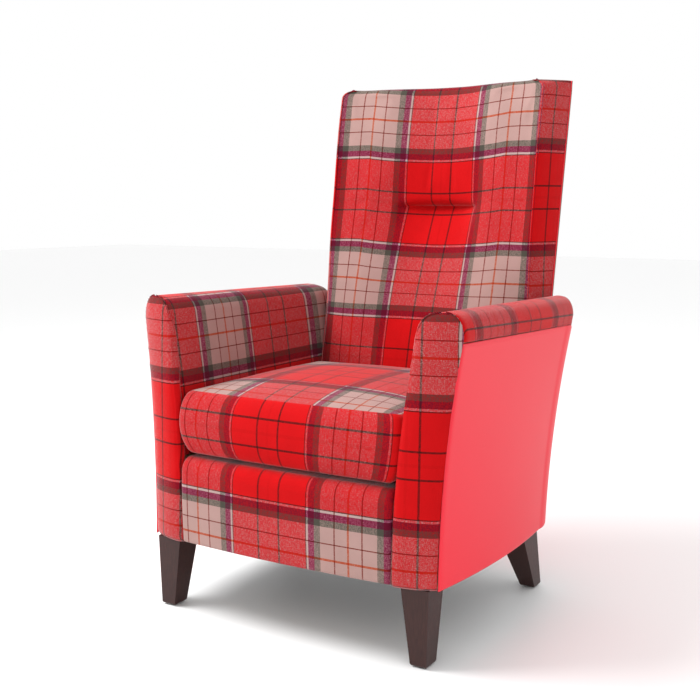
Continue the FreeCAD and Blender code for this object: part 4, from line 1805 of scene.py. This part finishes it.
@dataclass(frozen=True)
class Cushion:
    """The loose boxed seat cushion: a crowned top panel, an underside and a border between two seams.

    Args:
        form: the chair's form.
        front: Y of the front face at its foot.
        lean: how far the front leans back up to the top seam.
        low: height of the lower seam.
        edge: height of the upper seam.
        crown: rise of the top's middle above its rim.
        rim: rise of the rim above the seam.
        sink: rise of the underside's edge above its middle.
        corner: radius of the corners in plan.
        squeeze: how far the sides press against the arms.
        belly: forward bow of the front.
        back_pad: padding of the back at its foot.
        rear_gap: space behind the rear face.
        rear_rake: rake of the rear face in degrees.
        shoulder: how far the seams stand inside the border.
        across: cells across a panel.
        deep: cells from the front to the rear.
        border_rows: cells down the border.
        column_shift: distance of the middle red column from the chair's middle.
        stretch: stretch of the cloth across.
        row_start: distance of the top's red row from the front.
        border_row: V at a height on the border, that height and the stretch upwards.
    """

    form: ChairForm = FORM
    front: float = -0.3895
    lean: float = 0.010
    low: float = 0.3325
    edge: float = 0.4640
    crown: float = 0.021
    rim: float = 0.004
    sink: float = 0.006
    corner: float = 0.020
    squeeze: float = 0.0010
    belly: float = 0.004
    back_pad: float = 0.0760
    rear_gap: float = 0.0072
    rear_rake: float = 10.0
    shoulder: float = 0.021
    across: int = 84
    deep: int = 88
    border_rows: int = 24
    column_shift: float = -0.0265
    stretch: float = 0.97
    row_start: float = 0.052
    border_row: tuple[float, float, float] = (0.195, 0.4035, 1.1)

    def rear(self, z: Array) -> Array:
        """Y of the raked rear face.

        Args:
            z: height.

        Returns:
            Its Y.
        """
        form = self.form
        foot = form.rear_line(form.back_foot) - self.back_pad - self.rear_gap
        return foot + (z - form.back_foot) * math.tan(math.radians(self.rear_rake))

    def half_at(self, z: Array) -> Array:
        """Half width, where the cushion fills the space between the arms.

        Args:
            z: height.

        Returns:
            The half width.
        """
        return self.form.arm_inner(z) + self.squeeze

    def plan(self, s: Array, t: Array, z: Array, inset: Array) -> Array:
        """A point of the plan outline or of its inside.

        Args:
            s: share across, from -1 to 1.
            t: share from the front, -1, to the rear, 1.
            z: height, which leans the front and rear.
            inset: how far the outline is drawn in.

        Returns:
            X and Y of the points.
        """
        rise = (z - self.low) / (self.edge - self.low)
        y0 = self.front + self.lean * rise + inset
        y1 = self.rear(z) - inset
        a = self.half_at(z) - inset
        b = (y1 - y0) / 2
        x, y = np.abs(s * a), np.abs(t * b)
        core_x, core_y = a - self.corner, b - self.corner
        cx, cy = x - core_x, y - core_y
        rounded = (cx > 0) & (cy > 0)
        pull = np.maximum(cx, cy) / np.maximum(np.hypot(cx, cy), TINY)
        nx = np.sign(s) * np.where(rounded, core_x + cx * pull, x)
        ny = np.sign(t) * np.where(rounded, core_y + cy * pull, y)
        bow = (1 - np.clip(np.abs(nx) / a, 0, 1) ** 2) * np.clip(-ny / b, 0, 1) ** 4
        return joined(nx, (y0 + y1) / 2 + ny - self.belly * bow)

    def _sheet(self, ss: Array, tt: Array, level: float, crowned: bool) -> Array:
        """The top panel or the underside.

        Args:
            ss: shares across of its points.
            tt: shares along of its points.
            level: height of its seam.
            crowned: True for the top.

        Returns:
            A grid of points.
        """
        xy = self.plan(ss, tt, level, self.shoulder)
        half = self.half_at(level) - self.shoulder
        rear = self.rear(level)
        deep = (rear - self.front) / 2 - self.shoulder
        dx = 1 - np.clip(np.abs(xy[..., 0]) / half, 0, 1)
        dy = 1 - np.clip(np.abs(xy[..., 1] - (self.front + rear) / 2) / deep, 0, 1)
        near = np.minimum(dx * half, dy * deep)
        if crowned:
            dome = (1 - 0.75 * (1 - dx) ** 2) * (1 - (1 - dy) ** 2.2)
            z = level + (self.crown * dome + self.rim) * (1 - fading(near, 0.016, 1.2))
        else:
            z = level + self.sink * fading(near, 0.012, 1.2)
        return joined(xy[..., 0], xy[..., 1], z)

    def build(self) -> tuple[bpy.types.Object, Array]:
        """Makes the closed cushion.

        Returns:
            The object, and how firmly each vertex is held in the simulation.
        """
        nx, ny, nb = self.across, self.deep, self.border_rows
        s, t = np.linspace(-1, 1, nx + 1), np.linspace(-1, 1, ny + 1)
        ss, tt = np.meshgrid(s, t)
        top = self._sheet(ss, tt, self.edge, True)
        under = self._sheet(ss, tt, self.low, False)
        top_number = np.arange(ss.size).reshape(ss.shape)
        under_number = top_number + ss.size
        rim_row = np.concatenate([np.zeros(nx, int), np.arange(ny), np.full(nx, ny), np.arange(ny, 0, -1)])
        rim_col = np.concatenate([np.arange(nx), np.full(ny, nx), np.arange(nx, 0, -1), np.zeros(ny, int)])
        count = len(rim_row)
        top_z, low_z = top[rim_row, rim_col, 2], under[rim_row, rim_col, 2]
        vertices = [top.reshape(-1, 3), under.reshape(-1, 3)]
        strip = [top_number[rim_row, rim_col]]
        for row in range(1, nb):
            share = row / nb
            share -= 0.05 * math.sin(2 * math.pi * share)
            z = top_z + (low_z - top_z) * share
            inset = self.shoulder * (1 - math.sin(math.pi * share) ** 0.5)
            xy = self.plan(s[rim_col], t[rim_row], z, inset)
            vertices.append(joined(xy[:, 0], xy[:, 1], z))
            strip.append(2 * ss.size + (row - 1) * count + np.arange(count))
        strip.append(under_number[rim_row, rim_col])
        places = np.concatenate(vertices)
        faces, cloth = self._panel(top_number, places)
        more, more_cloth = self._panel(under_number, places)
        faces += [face[::-1] for face in more]
        cloth += [spots[::-1] for spots in more_cloth]
        more, more_cloth = self._border(np.array(strip), places)
        piece = new_piece("loose_seat_cushion", places, faces + more, cloth + more_cloth)
        held = np.zeros(len(places))
        held[under_number.ravel()] = 0.85
        held[np.abs(places[:, 1] - self.rear(places[:, 2])) < 0.03] = 1.0
        held[strip[0]] = np.maximum(held[strip[0]], 0.92)
        held[strip[-1]] = 1.0
        return piece, held

    def _panel(self, sheet: Array, places: Array) -> tuple[Faces, list[Array]]:
        """Faces of the top, or of the underside seen from above.

        Args:
            sheet: vertex numbers of its grid.
            places: places of all vertices.

        Returns:
            The faces and their cloth coordinates.
        """
        quads = cells_of(sheet)
        spots = places[quads]
        u = (spots[..., 0] - self.column_shift) / self.stretch
        cloth = joined(u, spots[..., 1] - self.front - self.row_start)
        return [tuple(quad) for quad in quads.tolist()], list(cloth)

    def _border(self, strip: Array, places: Array) -> tuple[Faces, list[Array]]:
        """Faces of the border, whose cloth runs on round the corners.

        Args:
            strip: vertex numbers, each row once round the cushion.
            places: places of all vertices.

        Returns:
            The faces and their cloth coordinates.
        """
        middle = places[strip[len(strip) // 2]]
        run = along(np.vstack([middle, middle[:1]]))
        zero = np.interp(self.column_shift, middle[: self.across, 0], run[: self.across])
        quads = cells_of(np.hstack([strip, strip[:, :1]])[::-1])
        u = cells_of(np.repeat((run - zero)[None] / self.stretch, len(strip), 0))
        v, height, stretch = self.border_row
        cloth = joined(u, v + (height - places[quads, 2]) / stretch)
        return [tuple(quad) for quad in quads.tolist()], list(cloth)


@dataclass(frozen=True)
class Deck:
    """The stretched cloth and pad under the cushion.

    Args:
        hollow: how far its middle hangs below its stapled edges.
        cells: cells along each side.
    """

    hollow: float = 0.007
    cells: int = 40

    def grid(self) -> Grid:
        """The deck's top.

        Returns:
            Its grid.
        """
        low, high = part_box("platform_cloth")
        share = np.linspace(0, 1, self.cells + 1)
        sx, sy = np.meshgrid(share, share)
        xx = low.x + (high.x - low.x) * sx
        yy = low.y + (high.y - low.y) * sy
        hang = self.hollow * (1 - (2 * sx - 1) ** 2) * (1 - (2 * sy - 1) ** 2)
        return Grid(joined(xx, yy, high.z - hang), joined(xx, yy))


# Assembly


class Upholstery:
    """Builds every soft piece, dresses it and fastens it to its body."""

    CHAIR = "chair"
    LOOSE = "seat_cushion"

    def __init__(self, shop: Workshop) -> None:
        """Keeps the workshop that dresses the pieces.

        Args:
            shop: the workshop.
        """
        self.shop = shop

    def fit(
        self, piece: bpy.types.Object, slot: Slot, nodes: Sequence[str],
        fill: float | None = None, body: str = CHAIR,
    ) -> None:
        """Dresses a piece, rides it on a body and lets it stand for CAD nodes.

        Args:
            piece: the piece.
            slot: its finish slot.
            nodes: the CAD nodes that it replaces.
            fill: how full its padding is, None for a bare cover; not used.
            body: the body that it rides on.
        """
        self.shop.dress(piece, slot)
        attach(piece, body)
        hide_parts(*nodes)
        LOG.info("%s: %d faces", piece.name, len(piece.data.polygons))

    def held_edges(self, grid: Grid, margin: int, slack: float) -> Array:
        """Weights that hold a shell's inner face and its edges.

        Args:
            grid: the shell's outer grid.
            margin: rows and columns beside the edge that ease off.
            slack: weight in the free middle.

        Returns:
            One weight per vertex of the shell.
        """
        row, column = (np.arange(count) for count in grid.points.shape[:2])
        near = np.minimum(np.minimum(row, row[::-1])[:, None], np.minimum(column, column[::-1]))
        weight = slack + (1 - slack) * np.exp(-near / margin)
        weight[near == 0] = 1.0
        return np.concatenate([weight.ravel(), np.ones(near.size)])

    def back(self) -> None:
        """The four panels of the back."""
        back = Back()
        grid = back.front_grid()
        front = shell("back_front_panel", grid, FORM.cover * 1.4)
        hold = self.held_edges(grid, 3, 0.05)
        x, _, z = grid.points.reshape(-1, 3).T
        tucked = np.exp(-np.abs(z - back.tuck_height) / 0.006) * (np.abs(x) < back.tuck_half)
        on_top = 0.9 * (z > FORM.height - 0.004)
        hold[: len(x)] = np.maximum.reduce([hold[: len(x)], tucked, on_top])
        Stuffing(pressure=1.6, cap=0.005).swell(front, hold)
        self.fit(front, Slot.TARTAN, ("inside_back_cover", "back_pad"), 0.75)
        border = back.border_grid()
        for side in Side:
            turned = border if side is Side.RIGHT else border.mirrored()
            piece = shell(side.word + "_back_side_panel", turned, FORM.cover)
            self.fit(piece, Slot.TARTAN, (side.word + "_back_border",), 0.85)
        rear = shell("outside_back_panel", back.rear_grid(), FORM.cover * 0.8)
        self.fit(rear, Slot.PANEL, ("outside_back_cover",))

    def arms(self) -> None:
        """The three panels of each arm."""
        columns_at = {
            Side.LEFT: (
                (-0.420, -0.417), (-0.280, -0.277), (-0.250, -0.2485), (-0.188, -0.185),
                (-0.127, -0.1215), (-0.101, -0.093), (-0.024, -0.025), (0.037, 0.025),
                (0.126, 0.0885), (0.180, 0.1215), (0.236, 0.165),
            ),
            Side.RIGHT: ((-0.500, -0.4757), (-0.011, 0.0), (0.300, 0.3025)),
        }
        for side in Side:
            arm = Arm(columns_at[side])
            for name, grid, slot, nodes, fill in (
                ("top", arm.hood_grid(), Slot.TARTAN, ("inside_arm_cover", "arm_pad"), 0.8),
                ("front", arm.facing_grid(), Slot.TARTAN, ("arm_facing_cover", "arm_facing_pad"), 0.85),
                ("outer", arm.outer_grid(), Slot.PANEL, ("outside_arm_cover",), None),
            ):
                turned = grid if side is Side.RIGHT else grid.mirrored()
                piece = shell(f"{side.word}_arm_{name}_panel", turned, FORM.cover)
                self.fit(piece, slot, [f"{side.word}_{node}" for node in nodes], fill)

    def seat(self) -> None:
        """The apron, the deck and the loose cushion."""
        apron = shell("front_apron", Apron().grid(), FORM.cover)
        self.fit(apron, Slot.TARTAN, ("apron_cover", "apron_pad"), 0.9)
        deck = shell("seat_deck", Deck().grid(), 0.020)
        self.fit(deck, Slot.CLOTH, ("platform_cloth", "deck_pad"), 0.6)
        cushion, held = Cushion().build()
        Stuffing(pressure=3.0, cap=0.010, frames=18).swell(cushion, held)
        nodes = ("seat_cushion_pad", "seat_cushion_cover", "right_cushion_border", "left_cushion_border")
        self.fit(cushion, Slot.TARTAN, nodes, 0.8, self.LOOSE)


class Timber:
    """Finishes the pieces that keep their CAD shape."""

    def __init__(self, shop: Workshop, frame: dict) -> None:
        """Keeps the workshop and the loaded frame.

        Args:
            shop: the workshop.
        """
        self.shop = shop
        self.frame = frame

    def finish(self) -> None:
        """Gives every carried-over node its material, and eases the legs' edges."""
        slots = {s["node"]: s["material_slot"] for s in self.frame["record"]["subparts"]}
        for name, node in sorted(self.frame["nodes"].items()):
            self.shop.dress(node, Slot(slots[name]))
            if name.endswith("_leg"):
                bevel = node.modifiers.new("eased_edges", "BEVEL")
                bevel.width = 0.0016
                bevel.segments = 3
                bevel.limit_method = "ANGLE"
                bevel.angle_limit = math.radians(35)


@dataclass(frozen=True)
class Studio:
    """Plain pale floor, white room, one soft lamp and the camera.

    Args:
        reach: half length of the floor.
        floor_grey: linear grey of the floor.
        floor_roughness: its micro roughness.
        lamp_at: place of the lamp.
        lamp_size: its diameter.
        lamp_power: its power in watts.
        lamp_aim: where it points.
        lens: focal length of the camera in millimetres.
        eye_at: place of the camera.
        eye_aim: where it points.
    """

    reach: float = 14.0
    floor_grey: float = 0.95
    floor_roughness: float = 0.55
    lamp_at: Colour = (-1.7, -1.0, 3.0)
    lamp_size: float = 1.8
    lamp_power: float = 104.0
    lamp_aim: Colour = (0.0, 0.0, 0.55)
    lens: float = 54.93
    eye_at: Colour = (1.16446, -2.02623, 0.84825)
    eye_aim: Colour = (0.0, -0.126, 0.539)

    def floor(self) -> None:
        """A pale floor under the chair."""
        mesh = bpy.data.meshes.new("studio_floor")
        corners = [(x * self.reach, y * self.reach, 0) for x, y in ((-1, -1), (1, -1), (1, 1), (-1, 1))]
        mesh.from_pydata(corners, [], [(0, 1, 2, 3)])
        floor = bpy.data.objects.new("studio_floor", mesh)
        bpy.context.scene.collection.objects.link(floor)
        pale = Finish("pale_floor")
        pale.look({"Base Color": (*[self.floor_grey] * 3, 1.0), "Roughness": self.floor_roughness})
        mesh.materials.append(pale.material)

    def lights(self) -> None:
        """A white room with one large lamp."""
        world = bpy.data.worlds.new("studio")
        bpy.context.scene.world = world
        world.use_nodes = True
        sky = world.node_tree.nodes["Background"]
        sky.inputs["Color"].default_value = (1.0, 1.0, 1.0, 1.0)
        sky.inputs["Strength"].default_value = 1.0
        lamp = bpy.data.lights.new("key", "AREA")
        lamp.shape = "DISK"
        lamp.size = self.lamp_size
        lamp.energy = self.lamp_power
        self._aimed("key", lamp, self.lamp_at, self.lamp_aim)

    def camera(self) -> None:
        """The camera, at the photograph's height and angle."""
        data = bpy.data.cameras.new("view")
        data.lens = self.lens
        data.sensor_width = 36.0
        bpy.context.scene.camera = self._aimed("view", data, self.eye_at, self.eye_aim)

    @staticmethod
    def _aimed(name: str, data: bpy.types.ID, place: Colour, aim: Colour) -> bpy.types.Object:
        """An object that points at a place.

        Args:
            name: its name.
            data: its lamp or camera.
            place: where it stands.
            aim: where it points.

        Returns:
            The object.
        """
        holder = bpy.data.objects.new(name, data)
        holder.location = place
        holder.rotation_euler = (Vector(aim) - Vector(place)).to_track_quat("-Z", "Y").to_euler()
        bpy.context.scene.collection.objects.link(holder)
        return holder


def main() -> None:
    """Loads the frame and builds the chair's looks."""
    logging.basicConfig(level=logging.INFO, format="%(name)s %(message)s")
    for stale in list(bpy.data.objects):
        bpy.data.objects.remove(stale)
    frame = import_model()
    shop = Workshop()
    Timber(shop, frame).finish()
    upholstery = Upholstery(shop)
    upholstery.back()
    upholstery.arms()
    upholstery.seat()
    studio = Studio()
    studio.floor()
    studio.lights()
    studio.camera()
    bpy.context.scene.view_settings.view_transform = "Standard"


if __name__ == "__main__":
    main()
